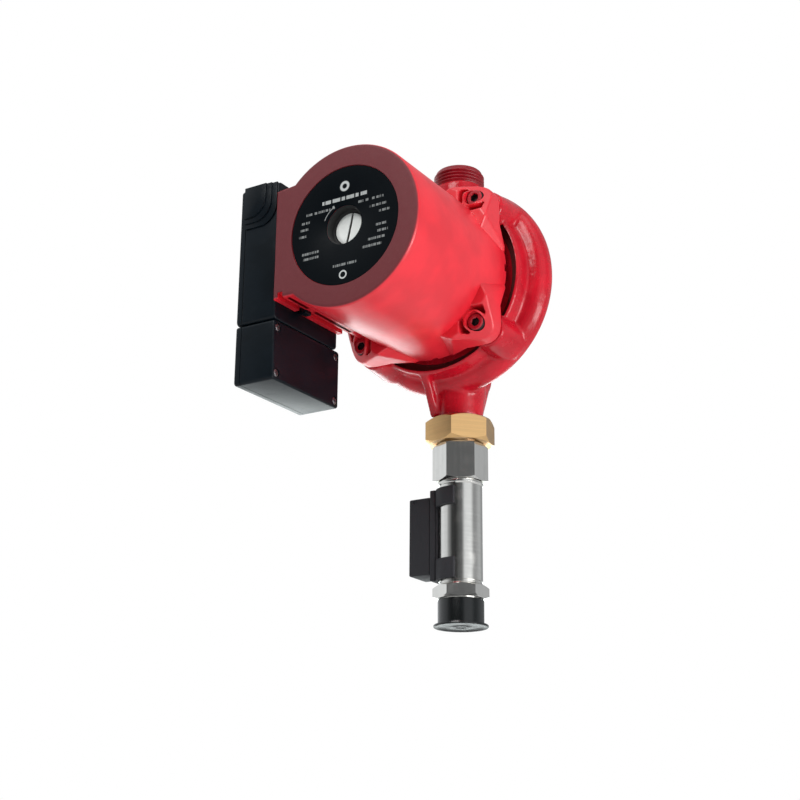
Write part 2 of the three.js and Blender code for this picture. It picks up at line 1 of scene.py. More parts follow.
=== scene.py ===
"""A wet-rotor circulator pump with a flow switch on its lower port, dressed for a studio picture."""

import logging
import math
from dataclasses import dataclass
from enum import Enum
from typing import Any, Callable, Iterable, Sequence

import bmesh
import bpy
from mathutils import Matrix, Vector


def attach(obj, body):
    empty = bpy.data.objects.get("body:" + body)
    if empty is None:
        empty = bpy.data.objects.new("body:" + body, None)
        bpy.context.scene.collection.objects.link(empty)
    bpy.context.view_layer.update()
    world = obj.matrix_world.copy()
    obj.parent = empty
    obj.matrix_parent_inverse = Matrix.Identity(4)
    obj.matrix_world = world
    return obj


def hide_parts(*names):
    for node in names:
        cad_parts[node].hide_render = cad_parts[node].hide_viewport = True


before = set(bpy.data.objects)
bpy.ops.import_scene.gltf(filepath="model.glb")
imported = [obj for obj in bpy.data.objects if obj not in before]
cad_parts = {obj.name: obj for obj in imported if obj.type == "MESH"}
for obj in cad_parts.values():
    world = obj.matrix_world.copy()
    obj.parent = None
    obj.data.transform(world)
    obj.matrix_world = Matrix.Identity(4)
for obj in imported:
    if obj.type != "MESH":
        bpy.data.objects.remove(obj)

LOG = logging.getLogger("pump")
MM = 0.001
NEAR = 0.01  # how near a point lies to a plane that it is on, in millimetres
G1_PITCH = 2.309  # the pitch of the port and nut threads
G34_PITCH = 1.814  # the pitch of the thread under the cap
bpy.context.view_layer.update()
Point = Sequence[float]
Profile = Sequence[Point]


class Axis(Enum):
    """The two lines that turned pieces are spun about."""

    MOTOR = "Y"
    PIPE = "Z"


# ------------------------------------------------------------------ shader helpers


def _operator(operation: str, swapped: bool = False) -> Callable[["Value", Any], "Value"]:
    """Makes a method of Value that takes one operand.

    Args:
        operation: the operation of the Math node that the method adds.
        swapped: whether the operand comes before the value.

    Returns:
        The method.
    """

    def method(self: "Value", other: Any) -> "Value":
        """Adds the Math node."""
        return self._math(operation, other, self) if swapped else self._math(operation, self, other)

    return method


class Value:
    """A shader socket that takes part in arithmetic."""

    def __init__(self, graph: "Graph", socket: bpy.types.NodeSocket) -> None:
        """Wraps one output socket of a graph."""
        self.graph = graph
        self.socket = socket

    def _math(self, operation: str, *operands: Any) -> "Value":
        """Adds a Math node.

        Args:
            operation: the node's operation.
            operands: its inputs in order, numbers or values.

        Returns:
            The node's result.
        """
        made = self.graph.node("ShaderNodeMath", {"operation": operation}, dict(enumerate(operands)))
        return made.out()

    __add__ = _operator("ADD")
    __sub__ = _operator("SUBTRACT")
    __rsub__ = _operator("SUBTRACT", swapped=True)
    __mul__ = _operator("MULTIPLY")
    __gt__ = _operator("GREATER_THAN")
    __lt__ = _operator("LESS_THAN")
    power = _operator("POWER")
    most = _operator("MAXIMUM")
    angle = _operator("ARCTAN2")

    def __abs__(self) -> "Value":
        """The size without its sign."""
        return self._math("ABSOLUTE", self)

    def sine(self) -> "Value":
        """The sine of an angle in radians."""
        return self._math("SINE", self)

    def between(self, low: float, high: float) -> "Value":
        """One between two limits."""
        return (self > low) * (self < high)

    def reach(self, other: "Value") -> "Value":
        """How far the point (self, other) is from nothing."""
        return (self * self + other * other).power(0.5)

    def step(self, low: float, high: float) -> "Value":
        """A smooth step.

        Args:
            low: where it is nothing.
            high: where it is one.

        Returns:
            The step, between nothing and one.
        """
        settings = {"interpolation_type": "SMOOTHSTEP"}
        inputs = {"Value": self, "From Min": low, "From Max": high, "To Min": 0.0, "To Max": 1.0}
        return self.graph.node("ShaderNodeMapRange", settings, inputs).out()


class Placed:
    """A node that has been added, with its outputs within reach."""

    def __init__(self, graph: "Graph", node: bpy.types.Node) -> None:
        """Keeps the node and its graph."""
        self.graph = graph
        self.node = node

    def out(self, name: str | int = 0) -> Value:
        """One of the node's outputs, by name or number."""
        return Value(self.graph, self.node.outputs[name])


class Graph:
    """The node tree of one material or world."""

    def __init__(self, owner: bpy.types.Material | bpy.types.World) -> None:
        """Starts an empty tree on its owner."""
        owner.use_nodes = True
        self.tree = owner.node_tree
        self.tree.nodes.clear()
        self.coordinates = self.node("ShaderNodeTexCoord").out("Object")

    def node(self, kind: str, settings: dict[str, Any] | None = None, inputs: dict | None = None) -> Placed:
        """Adds any node.

        Args:
            kind: the node's type.
            settings: what is set on the node itself.
            inputs: a value or a link for each socket, by name or number.

        Returns:
            The placed node.
        """
        made = self.tree.nodes.new(kind)
        for key, setting in (settings or {}).items():
            setattr(made, key, setting)
        for key, given in (inputs or {}).items():
            if isinstance(given, Value):
                self.tree.links.new(given.socket, made.inputs[key])
            else:
                made.inputs[key].default_value = given
        return Placed(self, made)

    def ramp(self, at: Value, stops: Profile) -> Value:
        """A brightness that eases from stop to stop, each a place and a brightness."""
        made = self.node("ShaderNodeValToRGB", None, {0: at})
        ramp = made.node.color_ramp
        ramp.interpolation = "EASE"
        while len(ramp.elements) < len(stops):
            ramp.elements.new(1.0)
        for element, (place, bright) in zip(ramp.elements, stops):
            element.position = place
            element.color = (bright, bright, bright, 1.0)
        return made.out()

    def noise(
        self, scale: float, detail: float = 2.0, roughness: float = 0.5, stretch: Point = (1, 1, 1)
    ) -> Value:
        """Noise over the object.

        Args:
            scale: how many patches there are to a metre.
            detail: how many finer layers there are.
            roughness: how strong the finer layers are.
            stretch: how the pattern is squeezed along each axis.

        Returns:
            The noise, about one half on average.
        """
        where = self.node("ShaderNodeMapping", None, {"Vector": self.coordinates, "Scale": stretch}).out()
        inputs = {"Vector": where, "Scale": scale, "Detail": detail, "Roughness": roughness}
        return self.node("ShaderNodeTexNoise", {"noise_dimensions": "3D"}, inputs).out()

    def along(self, axis: str) -> Value:
        """The object coordinate along X, Y or Z, in millimetres."""
        split = self.node("ShaderNodeSeparateXYZ", None, {0: self.coordinates})
        return split.out(axis) * 1000.0

    def blend(self, share: Any, first: Value, second: Value) -> Value:
        """One plain number or another by a share between nought and one."""
        return first + (second - first) * share

    def mix(self, share: Any, first: Any, second: Any) -> Value:
        """Mixes two colours.

        Args:
            share: how much of the second there is.
            first: the colour where share is nothing.
            second: the colour where share is one.

        Returns:
            The mixed colour.
        """
        one, two = (end if isinstance(end, Value) else (*end, 1.0) for end in (first, second))
        return self.node("ShaderNodeMix", {"data_type": "RGBA"}, {0: share, 6: one, 7: two}).out(2)

    def surface(
        self,
        color: Value,
        rough: Any,
        height: Value | None = None,
        depth: float = 0.0,
        fixed: dict[str, float] | None = None,
    ) -> None:
        """Ends the graph in a Principled shader.

        Args:
            color: its colour.
            rough: its roughness.
            height: the relief, or none.
            depth: how deep the relief is, in metres.
            fixed: other inputs that are the same all over.
        """
        inputs = {"Base Color": color, "Roughness": rough, **(fixed or {})}
        if height is not None:
            relief = {"Height": height, "Distance": depth, "Strength": 1.0}
            inputs["Normal"] = self.node("ShaderNodeBump", None, relief).out()
        shader = self.node("ShaderNodeBsdfPrincipled", None, inputs)
        self.node("ShaderNodeOutputMaterial", None, {"Surface": shader.out()})


# ------------------------------------------------------------------ finishes


@dataclass(frozen=True)
class Finish:
    """What a surface is made of, and how it is kept from being made twice."""

    name: str
    slot: str
    color: tuple[float, float, float]
    roughness: float = 0.4

    def dress(self, graph: Graph) -> None:
        """Adds the finish's own nodes."""
        raise NotImplementedError

    def material(self) -> bpy.types.Material:
        """The finish's material, made on first use."""
        if self.name not in bpy.data.materials:
            self.dress(Graph(bpy.data.materials.new(self.name)))
        return bpy.data.materials[self.name]

    def shade(self, factor: float) -> tuple[float, float, float]:
        """The colour made lighter or darker by a factor."""
        return tuple(min(1.0, c * factor) for c in self.color)


@dataclass(frozen=True)
class CastEnamel(Finish):
    """Thick enamel over sand-cast iron: lumps, small pits and uneven gloss."""

    lump: float = 0.00055

    def dress(self, graph: Graph) -> None:
        """Adds lumps, grain and tone."""
        lumps = graph.noise(130.0, 2.0, 0.5)
        grain = graph.noise(700.0, 2.0, 0.6)
        pits = graph.noise(380.0, 1.0, 0.4).step(0.7, 0.78)
        tone = graph.mix(graph.noise(60.0, 3.0).step(0.3, 0.75), self.shade(0.82), self.shade(1.12))
        color = graph.mix(pits * 0.4, tone, self.shade(0.55))
        height = lumps + grain * 0.12 - pits * 0.12
        rough = graph.noise(220.0, 2.0) * 0.22 + (self.roughness - 0.11)
        graph.surface(color, rough, height, self.lump, {"Specular IOR Level": 0.36})


@dataclass(frozen=True)
class MotorEnamel(Finish):
    """Satin enamel over die-cast aluminium, matter on the turned front face and painted darker there as
    painted shade.
    """

    front: float = -133.2

    def dress(self, graph: Graph) -> None:
        """Adds orange peel, a matt front face darkened as painted shade, and dust of darker tone."""
        face = 1.0 - graph.along("Y").step(self.front - 0.35, self.front + 0.5)
        peel = graph.noise(520.0, 2.0, 0.5)
        broad = graph.noise(45.0, 2.0)
        speck = graph.noise(1500.0, 1.0).step(0.62, 0.7)
        tone = graph.mix(broad.step(0.35, 0.7), self.shade(0.9), self.shade(1.06))
        # Painted shade: the front face gets a far darker red than the barrel, standing in for the little
        # light that falls on it; its matt roughness is real.
        flat = graph.mix(speck * 0.5, (0.13, 0.007, 0.012), (0.18, 0.018, 0.026))
        color = graph.mix(face, tone, flat)
        rough = face * 0.34 + graph.noise(260.0, 2.0) * 0.12 + (self.roughness - 0.06)
        height = peel + face * (graph.noise(2600.0, 1.0) * 0.5)
        graph.surface(color, rough, height, 0.00005, {"Specular IOR Level": 0.6})


@dataclass(frozen=True)
class PaintedScrew(Finish):
    """A screw painted over with the motor; its socket and all that lies deeper than its head's face are
    coloured near black as painted shade.
    """

    socket: float = -52.3

    def dress(self, graph: Graph) -> None:
        """Adds painted shade in the socket and chipped paint with a fine bump."""
        # Painted shade: everything deeper than the head's face, the socket and the head's side walls, is
        # coloured near black with rougher gloss.
        deep = graph.along("Y").step(self.socket - 0.3, self.socket + 0.3)
        chips = graph.noise(900.0, 3.0).step(0.62, 0.68) * (1.0 - deep)
        paint = graph.mix(graph.noise(300.0, 2.0), self.shade(0.8), self.shade(1.1))
        worn = graph.mix(chips * 0.5, paint, (0.12, 0.1, 0.1))
        color = graph.mix(deep, worn, (0.012, 0.006, 0.007))
        rough = graph.noise(400.0, 2.0) * 0.2 + deep * 0.3 + (self.roughness - 0.1)
        graph.surface(color, rough, graph.noise(900.0, 2.0), 0.0001)


@dataclass(frozen=True)
class PrintedPlate(Finish):
    """A dark label plate with rows of plain printed dashes that say nothing."""

    ink: tuple[float, float, float] = (0.55, 0.57, 0.56)

    def _marks(self, graph: Graph) -> Value:
        """Everything that is printed, a value between nothing and one."""
        x, z = graph.along("X"), graph.along("Z")
        radius = x.reach(z)
        turn = z.angle(x)
        dashes = graph.noise(1150.0, 0.0, 0.5, (1, 0, 0.01)).step(0.44, 0.5)
        bars = [x.between(left, right) * z.between(low, high) for left, right, low, high in self.rows()]
        words = bars[0]
        for bar in bars[1:]:
            words = words.most(bar)
        heading = x.between(-15.5, 15.5) * z.between(15.6, 17.9)
        heading = heading * graph.noise(620.0, 0.0, 0.5, (1, 0, 0.01)).step(0.4, 0.44) * 0.8
        arc = radius.between(14.4, 14.9) * turn.between(2.1, 2.75) * 0.6
        tip = radius.between(13.7, 15.6) * turn.between(2.06, 2.14) * 0.6
        badge = abs(x.reach(z + 31.0) - 2.2) < 0.45
        from_ring = x.reach(z - 24.5)
        ring = (from_ring - 3.2).step(0.3, -0.3) * (from_ring - 1.6).step(-0.3, 0.3)
        marks = words * dashes * 0.42
        for mark in (heading, arc, tip, badge, ring):
            marks = marks.most(mark)
        return marks

    def dress(self, graph: Graph) -> None:
        """Adds the printed marks, a turning arrow and a fine satin grain."""
        marks = self._marks(graph)
        ground = graph.mix(graph.noise(70.0, 2.0), self.shade(0.8), self.shade(1.25))
        rough = graph.noise(300.0, 2.0) * 0.15 + (self.roughness - 0.07)
        height = graph.noise(2400.0, 1.0) + marks * 0.4
        color = graph.mix(marks, ground, self.ink)
        graph.surface(color, rough, height, 0.00002, {"Specular IOR Level": 0.05})

    def rows(self) -> list[Point]:
        """The rectangles that hold the small print, as left, right, bottom and top."""
        left = [(-27.0, -9.0, 11.2), (-30.0, -24.0, 6.4), (-31.0, -25.0, 2.2), (-31.5, -26.5, -2.0)]
        left += [(-29.0, -17.0, -13.5), (-28.0, -16.5, -16.8)]
        right = [(9.0, 27.0, 11.2), (17.0, 29.0, 6.4), (24.0, 31.0, 2.2), (22.0, 29.0, -6.0)]
        right += [(23.0, 30.0, -10.0), (16.5, 28.0, -14.0), (13.0, 26.0, -18.0)]
        middle = [(-7.0, 9.0, -25.5)]
        return [(a, b, low, low + 1.5) for a, b, low in left + right + middle]


@dataclass(frozen=True)
class Moulded(Finish):
    """Moulded plastic or rubber with a spark-eroded grain and faint handling marks."""

    grain: float = 0.00004
    grain_scale: float = 1400.0
    coat: float = 0.0
    matt_below: float = -999.0
    specular: float = 0.5

    def dress(self, graph: Graph) -> None:
        """Adds grain, clouding and smudges."""
        cloud = graph.noise(48.0, 3.0, 0.6)
        smudge = graph.noise(95.0, 4.0, 0.6, (1, 1, 2.2)).step(0.55, 0.72)
        tone = graph.mix(cloud.step(0.3, 0.7), self.shade(0.82), self.shade(1.2))
        color = graph.mix(smudge * 0.25, tone, self.shade(1.6))
        under = 1.0 - graph.along("Z").step(self.matt_below - 0.1, self.matt_below + 0.1)
        rough = smudge * 0.08 + cloud * 0.1 + under * 0.3 + (self.roughness - 0.07)
        height = graph.noise(self.grain_scale, 2.0, 0.6)
        fixed = {"Coat Weight": self.coat, "Coat Roughness": 0.15, "Specular IOR Level": self.specular}
        graph.surface(color, rough, height, self.grain, fixed)


@dataclass(frozen=True)
class PlugNylon(Finish):
    """White nylon with painted shade in its screwdriver slot."""

    face: float = -127.2
    head_r: float = 9.3

    def dress(self, graph: Graph) -> None:
        """Adds painted shade in the slot and faint clouding."""
        x, y, z = (graph.along(axis) for axis in "XYZ")
        # Painted shade: the slot's walls and floor, inside the head's radius, are coloured dark brown.
        slot = y.step(self.face + 0.1, self.face + 0.9) * (x.reach(z) < self.head_r)
        cloud = graph.noise(60.0, 3.0)
        tone = graph.mix(cloud, self.shade(0.9), self.shade(1.03))
        color = graph.mix(slot * 0.92, tone, (0.05, 0.042, 0.035))
        rough = cloud * 0.15 + (self.roughness - 0.07)
        graph.surface(color, rough, graph.noise(1400.0, 2.0), 0.00002)


@dataclass(frozen=True)
class TurnedMetal(Finish):
    """Bare or plated metal with tool rings about its axis and faint stains."""

    rings: float = 4.0
    ring_depth: float = 0.000012
    stain: float = 0.2
    about: Axis = Axis.PIPE
    drawn: tuple[float, float] = (999.0, -999.0)

    def dress(self, graph: Graph) -> None:
        """Adds tool rings, stains and polish."""
        squeeze = (0.02, 0.02, 1) if self.about is Axis.PIPE else (0.02, 1, 0.02)
        rings = graph.noise(self.rings * 400.0, 2.0, 0.6, squeeze)
        strokes = graph.noise(self.rings * 300.0, 2.0, 0.6, (1, 1, 0.01))
        z = graph.along("Z")
        lines = graph.blend((z > self.drawn[0]).most(z < self.drawn[1]), rings, strokes)
        stains = graph.noise(120.0, 4.0, 0.6).step(0.42, 0.75)
        tone = graph.mix(lines.step(0.3, 0.7), self.shade(0.95), self.shade(1.03))
        color = graph.mix(stains * self.stain, tone, self.shade(0.6))
        rough = lines * 0.06 + stains * 0.1 + (self.roughness - 0.03)
        height = lines + graph.noise(700.0, 1.0) * 0.4
        graph.surface(color, rough, height, self.ring_depth, {"Metallic": 1.0})


@dataclass(frozen=True)
class StackedSheet(Finish):
    """Laminations or close turns of wire, seen as fine lines along the motor."""

    pitch: float = 0.5
    metallic: float = 0.8

    def dress(self, graph: Graph) -> None:
        """Adds the lines and a little rust or varnish."""
        lines = (graph.along("Y") * (2 * math.pi / self.pitch)).sine() * 0.5 + 0.5
        varnish = graph.noise(180.0, 3.0)
        color = graph.mix(varnish.step(0.35, 0.7), self.shade(0.7), self.shade(1.2))
        rough = varnish * 0.2 + (self.roughness - 0.1)
        graph.surface(color, rough, lines, 0.00008, {"Metallic": self.metallic})


class Palette:
    """Every finish that the pump wears."""

    VOLUTE = CastEnamel("volute_enamel", "volute_paint", (0.52, 0.006, 0.018), 0.24, 0.00035)
    # Painted shade: the port enamel is coloured about half as bright as the volute's, for the shadow the
    # ports sit in.
    PORT_SHADED = CastEnamel("port_enamel_shaded", "volute_paint", (0.24, 0.003, 0.01), 0.36, 0.0001)
    MOTOR = MotorEnamel("motor_enamel", "motor_paint", (0.74, 0.016, 0.03), 0.34)
    SCREW = PaintedScrew("painted_screw", "motor_paint", (0.42, 0.006, 0.018), 0.36)
    # Painted shadow: a near-black red for the sheet laid in the groove between barrel and volute.
    CHANNEL_SHADOW = CastEnamel("channel_shadow", "volute_paint", (0.09, 0.001, 0.002), 0.6, 0.0002)
    PLATE = PrintedPlate("plate_print", "nameplate", (0.002, 0.0035, 0.005), 0.42)
    PLUG = PlugNylon("plug_nylon", "plug", (0.94, 0.96, 0.92), 0.4)
    BOX = Moulded("box_plastic", "box", (0.002, 0.005, 0.008), 0.36, 0.00005, specular=0.18)
    SENSOR = Moulded("sensor_plastic", "sensor_plastic", (0.0025, 0.005, 0.007), 0.42, specular=0.03)
    CAP = Moulded("cap_polythene", "cap_plastic", (0.002, 0.0035, 0.004), 0.24, 0.00001, 600.0, 0.1, -211.8)
    RUBBER = Moulded("seal_rubber", "rubber", (0.012, 0.012, 0.012), 0.7)
    BRASS = TurnedMetal("nut_brass", "brass", (0.78, 0.49, 0.22), 0.3, 3.0, 0.000003, 0.08)
    NICKEL = TurnedMetal(
        "switch_nickel", "nickel", (0.7, 0.69, 0.66), 0.15, 5.0, 0.000003, 0.1, drawn=(-122.7, -187.3)
    )
    ZINC = TurnedMetal("screw_zinc", "zinc", (0.22, 0.22, 0.23), 0.36, 4.0, 0.00001, 0.3, Axis.MOTOR)
    STAINLESS = TurnedMetal(
        "stainless_steel", "stainless", (0.56, 0.56, 0.55), 0.28, 4.0, 0.00001, 0.1, Axis.MOTOR
    )
    LACQUER = Moulded("lacquer_mark", "volute_paint", (0.5, 0.02, 0.02), 0.3)
    IRON = StackedSheet("laminations", "laminations", (0.2, 0.21, 0.22), 0.5)
    COPPER = StackedSheet("winding_wire", "copper", (0.5, 0.17, 0.06), 0.35, 0.9)
    CERAMIC = Moulded("ceramic", "ceramic", (0.74, 0.71, 0.62), 0.2, 0.00001)
    CARBON = Moulded("carbon_ring", "carbon", (0.02, 0.02, 0.02), 0.5)
    WHEEL = Moulded("wheel_plastic", "hydraulic_plastic", (0.52, 0.48, 0.38), 0.45)
    MAGNET = Moulded("magnet_case", "magnet", (0.035, 0.036, 0.04), 0.5)
    CIRCUIT = Moulded("circuit_board", "circuit", (0.015, 0.1, 0.04), 0.3)
    RELAY = Moulded("relay_case", "relay", (0.012, 0.018, 0.03), 0.3)
    BLOCK = Moulded("terminal_block", "block", (0.6, 0.6, 0.57), 0.45)


# The nodes that are carried over from the solids as they are, by finish.
CARRIED = {
    Palette.RUBBER: ("housing_gasket", "can_seal", "plug_seal", "box_gasket", "union_seal"),
    Palette.WHEEL: ("impeller", "flow_piston"),
    Palette.IRON: ("stator_core", "rotor_core"),
    Palette.COPPER: ("winding_front", "winding_rear"),
    Palette.STAINLESS: (
        "neck_ring", "impeller_cone", "rotor_can", "bearing_plate", "bearing_carrier", "rotor_sleeve",
        "return_spring",
    ),
    Palette.CERAMIC: ("front_bearing", "rear_bearing", "shaft", "reed_switch"),
    Palette.CARBON: ("thrust_ring",),
    Palette.BLOCK: ("terminal_block",),
    Palette.MAGNET: ("run_capacitor", "piston_magnet"),
    Palette.CIRCUIT: ("control_board",),
    Palette.RELAY: ("relay",),
}


# ------------------------------------------------------------------ mesh helpers


def add_object(name: str, data: bpy.types.ID) -> bpy.types.Object:
    """Adds an object to the scene."""
    made = bpy.data.objects.new(name, data)
    bpy.context.scene.collection.objects.link(made)
    return made


class Shape:
    """A mesh in the making, in millimetres in the pump's frame."""

    def __init__(self) -> None:
        """Starts with nothing."""
        self.bm = bmesh.new()

    @classmethod
    def box(
        cls, low: Point, high: Point, round_by: float = 0.0, along: str = "", segments: int = 3
    ) -> "Shape":
        """A box with rounded edges.

        Args:
            low: its lowest corner.
            high: its highest corner.
            round_by: the radius of its edges.
            along: X, Y or Z to round only the edges along that axis, or nothing for all of them.
            segments: how many faces go round an edge.

        Returns:
            The box.
        """
        made = cls()
        bmesh.ops.create_cube(made.bm, size=1.0)
        size = [b - a for a, b in zip(low, high)]
        bmesh.ops.scale(made.bm, vec=size, verts=made.bm.verts)
        bmesh.ops.translate(made.bm, vec=[(a + b) / 2 for a, b in zip(low, high)], verts=made.bm.verts)
        if round_by:
            edges = [e for e in made.bm.edges if not along or made._runs(e, along)]
            made.bevel(edges, round_by, segments)
        return made

    @staticmethod
    def _runs(edge: bmesh.types.BMEdge, axis: str) -> bool:
        """True if an edge runs along X, Y or Z."""
        way = edge.verts[0].co - edge.verts[1].co
        return abs(way["XYZ".index(axis)]) > 0.99 * way.length

    def bevel(self, parts: Iterable[Any], by: float, segments: int = 3, affect: str = "EDGES") -> "Shape":
        """Rounds some edges, or the corners of a flat outline where VERTICES is given."""
        bmesh.ops.bevel(
            self.bm, geom=list(parts), offset=by, segments=segments, profile=0.5, affect=affect, material=-1
        )
        return self

    def round_rim(self, axis: str, at: float, by: float, segments: int = 3) -> "Shape":
        """Rounds the edges that lie in the plane at one height along X, Y or Z."""
        way = "XYZ".index(axis)
        edges = [e for e in self.bm.edges if all(abs(v.co[way] - at) < NEAR for v in e.verts)]
        return self.bevel(edges, by, segments)

    def extrude(self, face: bmesh.types.BMFace, shift: Point) -> "Shape":
        """Pulls a flat face out into a solid."""
        grown = bmesh.ops.extrude_face_region(self.bm, geom=[face])["geom"]
        far = [v for v in grown if isinstance(v, bmesh.types.BMVert)]
        bmesh.ops.translate(self.bm, vec=shift, verts=far)
        return self.clean()

    @classmethod
    def spun(
        cls, profile: Profile, about: Axis, steps: int = 96, turn: float = 360.0, start: float = 0.0
    ) -> "Shape":
        """Spins a profile of (radius, height) points about an axis.

        Args:
            profile: the points in order; one that doesn't end on the axis closes on itself.
            about: the axis.
            steps: how many faces go round.
            turn: how far it is spun, in degrees.
            start: where the spin starts, in degrees from +X towards the axis's next neighbour.

        Returns:
            The turned shape.
        """
        made = cls()
        motor = about is Axis.MOTOR
        points = [made.bm.verts.new((r, h, 0.0) if motor else (r, 0.0, h)) for r, h in profile]
        loop = profile[0][0] > 0 or profile[-1][0] > 0
        for one, two in zip(points, points[1:] + (points[:1] if loop else [])):
            if one is not two:
                made.bm.edges.new((one, two))
        axis = Vector((0, 1, 0)) if motor else Vector((0, 0, 1))
        if start:
            made.turned(start, about.value)
        full = turn >= 360.0
        face = [] if full else bmesh.ops.contextual_create(made.bm, geom=made.bm.edges[:])["faces"]
        geom = face + made.bm.edges[:] + made.bm.verts[:]
        sweep = {"axis": axis, "angle": math.radians(turn), "steps": steps, "use_merge": full}
        bmesh.ops.spin(made.bm, geom=geom, cent=(0, 0, 0), **sweep)
        return made.clean()

    @classmethod
    def slab(cls, outline: Profile, axis: str, low: float, high: float, corner: float = 0.0) -> "Shape":
        """Extrudes a flat outline.

        Args:
            outline: its corners, in the two other axes in X, Y, Z order.
            axis: X, Y or Z, the way it is extruded.
            low: where it starts.
            high: where it ends.
            corner: the radius of its corners.

        Returns:
            The slab.
        """
        made = cls()
        made.bm.faces.new([made.bm.verts.new(cls._across(axis, low, spot)) for spot in outline])
        if corner:
            made.bevel(made.bm.verts, corner, 8, "VERTICES")
        return made.extrude(made.bm.faces[:][0], cls._across(axis, high - low, (0.0, 0.0)))

    @staticmethod
    def _across(axis: str, along: float, spot: Point) -> Point:
        """The point at a height along X, Y or Z, with the two other coordinates of a spot."""
        way = "XYZ".index(axis)
        return (*spot[:way], along, *spot[way:])

    @classmethod
    def bar(
        cls, axis: str, start: float, end: float, radius: float, spot: Point = (0, 0), steps: int = 48
    ) -> "Shape":
        """A round bar along X, Y or Z, through a spot in the two other axes."""
        return cls.rod(cls._across(axis, start, spot), cls._across(axis, end, spot), radius, steps=steps)

    @classmethod
    def rod(
        cls, start: Point, end: Point, radius: float, radius2: float | None = None, steps: int = 48
    ) -> "Shape":
        """A round bar or cone between two points."""
        made = cls()
        a, b = Vector(start), Vector(end)
        turn = (b - a).to_track_quat("Z", "Y").to_matrix().to_4x4()
        place = Matrix.Translation((a + b) / 2) @ turn
        far = radius if radius2 is None else radius2
        sizes = {"radius1": radius, "radius2": far, "depth": (b - a).length}
        bmesh.ops.create_cone(made.bm, cap_ends=True, segments=steps, matrix=place, **sizes)
        return made

    @classmethod
    def ball(cls, centre: Point, radius: float) -> "Shape":
        """A round ball."""
        made = cls()
        place = Matrix.Translation(centre)
        bmesh.ops.create_uvsphere(made.bm, u_segments=48, v_segments=24, radius=radius, matrix=place)
        return made

    @classmethod
    def hexagon(cls, flats: float, low: float, high: float, corner: float, chamfer: float = 0.7) -> "Shape":
        """A hexagonal bar along the pipe with chamfered ends.

        Args:
            flats: its width across flats.
            low: its bottom.
            high: its top.
            corner: the angle of one corner, in degrees.
            chamfer: the share of the corner's overhang that the chamfer drops.

        Returns:
            The bar.
        """
        reach = flats / math.sqrt(3)
        bar = cls.rod((0, 0, low), (0, 0, high), reach, steps=6)
        first = max((v.co for v in bar.bm.verts), key=lambda c: c.x)
        bar.turned(corner - math.degrees(math.atan2(first.y, first.x)), "Z")
        drop = (reach - flats / 2) * chamfer
        face = flats / 2 - 0.2
        cone = [(0, low), (face, low), (reach + 0.1, low + drop)]
        cone += [(reach + 0.1, high - drop), (face, high), (0, high)]
        return bar.common(cls.spun(cone, Axis.PIPE, 120))

    def moved(self, shift: Point) -> "Shape":
        """Moves the shape."""
        bmesh.ops.translate(self.bm, vec=shift, verts=self.bm.verts)
        return self

    def turned(self, degrees: float, axis: str) -> "Shape":
        """Turns the shape about X, Y or Z."""
        matrix = Matrix.Rotation(math.radians(degrees), 3, axis)
        bmesh.ops.rotate(self.bm, cent=(0, 0, 0), matrix=matrix, verts=self.bm.verts)
        return self

    def clean(self) -> "Shape":
        """Merges doubles and turns every face outwards."""
        bmesh.ops.remove_doubles(self.bm, verts=self.bm.verts, dist=0.001)
        bmesh.ops.recalc_face_normals(self.bm, faces=self.bm.faces)
        return self

    def beside(self, *others: "Shape") -> "Shape":
        """Puts other shapes beside this one, without joining their surfaces."""
        for other in others:
            spare = bpy.data.meshes.new("spare")
            other.bm.to_mesh(spare)
            self.bm.from_mesh(spare)
            bpy.data.meshes.remove(spare)
        return self

    def _object(self, name: str = "spare") -> bpy.types.Object:
        """The shape as a linked object."""
        mesh = bpy.data.meshes.new(name)
        self.bm.to_mesh(mesh)
        return add_object(name, mesh)

    def _through(self, prepare: Callable[[bpy.types.Object], None], *helpers: bpy.types.Object) -> "Shape":
        """Runs the shape through modifiers.

        Args:
            prepare: adds the modifiers to the object that it is given.
            helpers: objects that are deleted afterwards.

        Returns:
            This shape, changed.
        """
        body = self._object()
        prepare(body)
        graph = bpy.context.evaluated_depsgraph_get()
        result = bpy.data.meshes.new_from_object(body.evaluated_get(graph))
        self.bm.clear()
        self.bm.from_mesh(result)
        bpy.data.meshes.remove(result)
        for spare in (body, *helpers):
            mesh = spare.data
            bpy.data.objects.remove(spare)
            bpy.data.meshes.remove(mesh)
        return self

    def _boolean(self, operation: str, others: Sequence["Shape"]) -> "Shape":
        """Joins, cuts or intersects with other shapes in turn."""
        tools = [other._object() for other in others]

        def prepare(body: bpy.types.Object) -> None:
            """Adds a Boolean modifier for each tool."""
            for tool in tools:
                step = body.modifiers.new("cut", "BOOLEAN")
                step.operation = operation
                step.solver = "EXACT"
                step.object = tool

        return self._through(prepare, *tools)

    def cut(self, *others: "Shape") -> "Shape":
        """Takes other shapes away."""
        return self._boolean("DIFFERENCE", others)

    def union(self, *others: "Shape") -> "Shape":
        """Joins other shapes."""
        return self._boolean("UNION", others)

    def common(self, *others: "Shape") -> "Shape":
        """Keeps only what the other shapes share."""
        return self._boolean("INTERSECT", others)

    def cast(self, grain: float, smoothing: int, keep: float = 0.5) -> "Shape":
        """Melts touching shapes into one skin with soft corners, as a casting has.

        Args:
            grain: the size of the skin's squares.
            smoothing: how many times it is smoothed.
            keep: how strongly each time.

        Returns:
            This shape, as one skin.
        """

        def prepare(body: bpy.types.Object) -> None:
            """Adds the remesh and smoothing."""
            melt = body.modifiers.new("melt", "REMESH")
            melt.mode = "VOXEL"
            melt.voxel_size = grain
            soften = body.modifiers.new("soften", "SMOOTH")
            soften.factor = keep
            soften.iterations = smoothing

        return self._through(prepare)


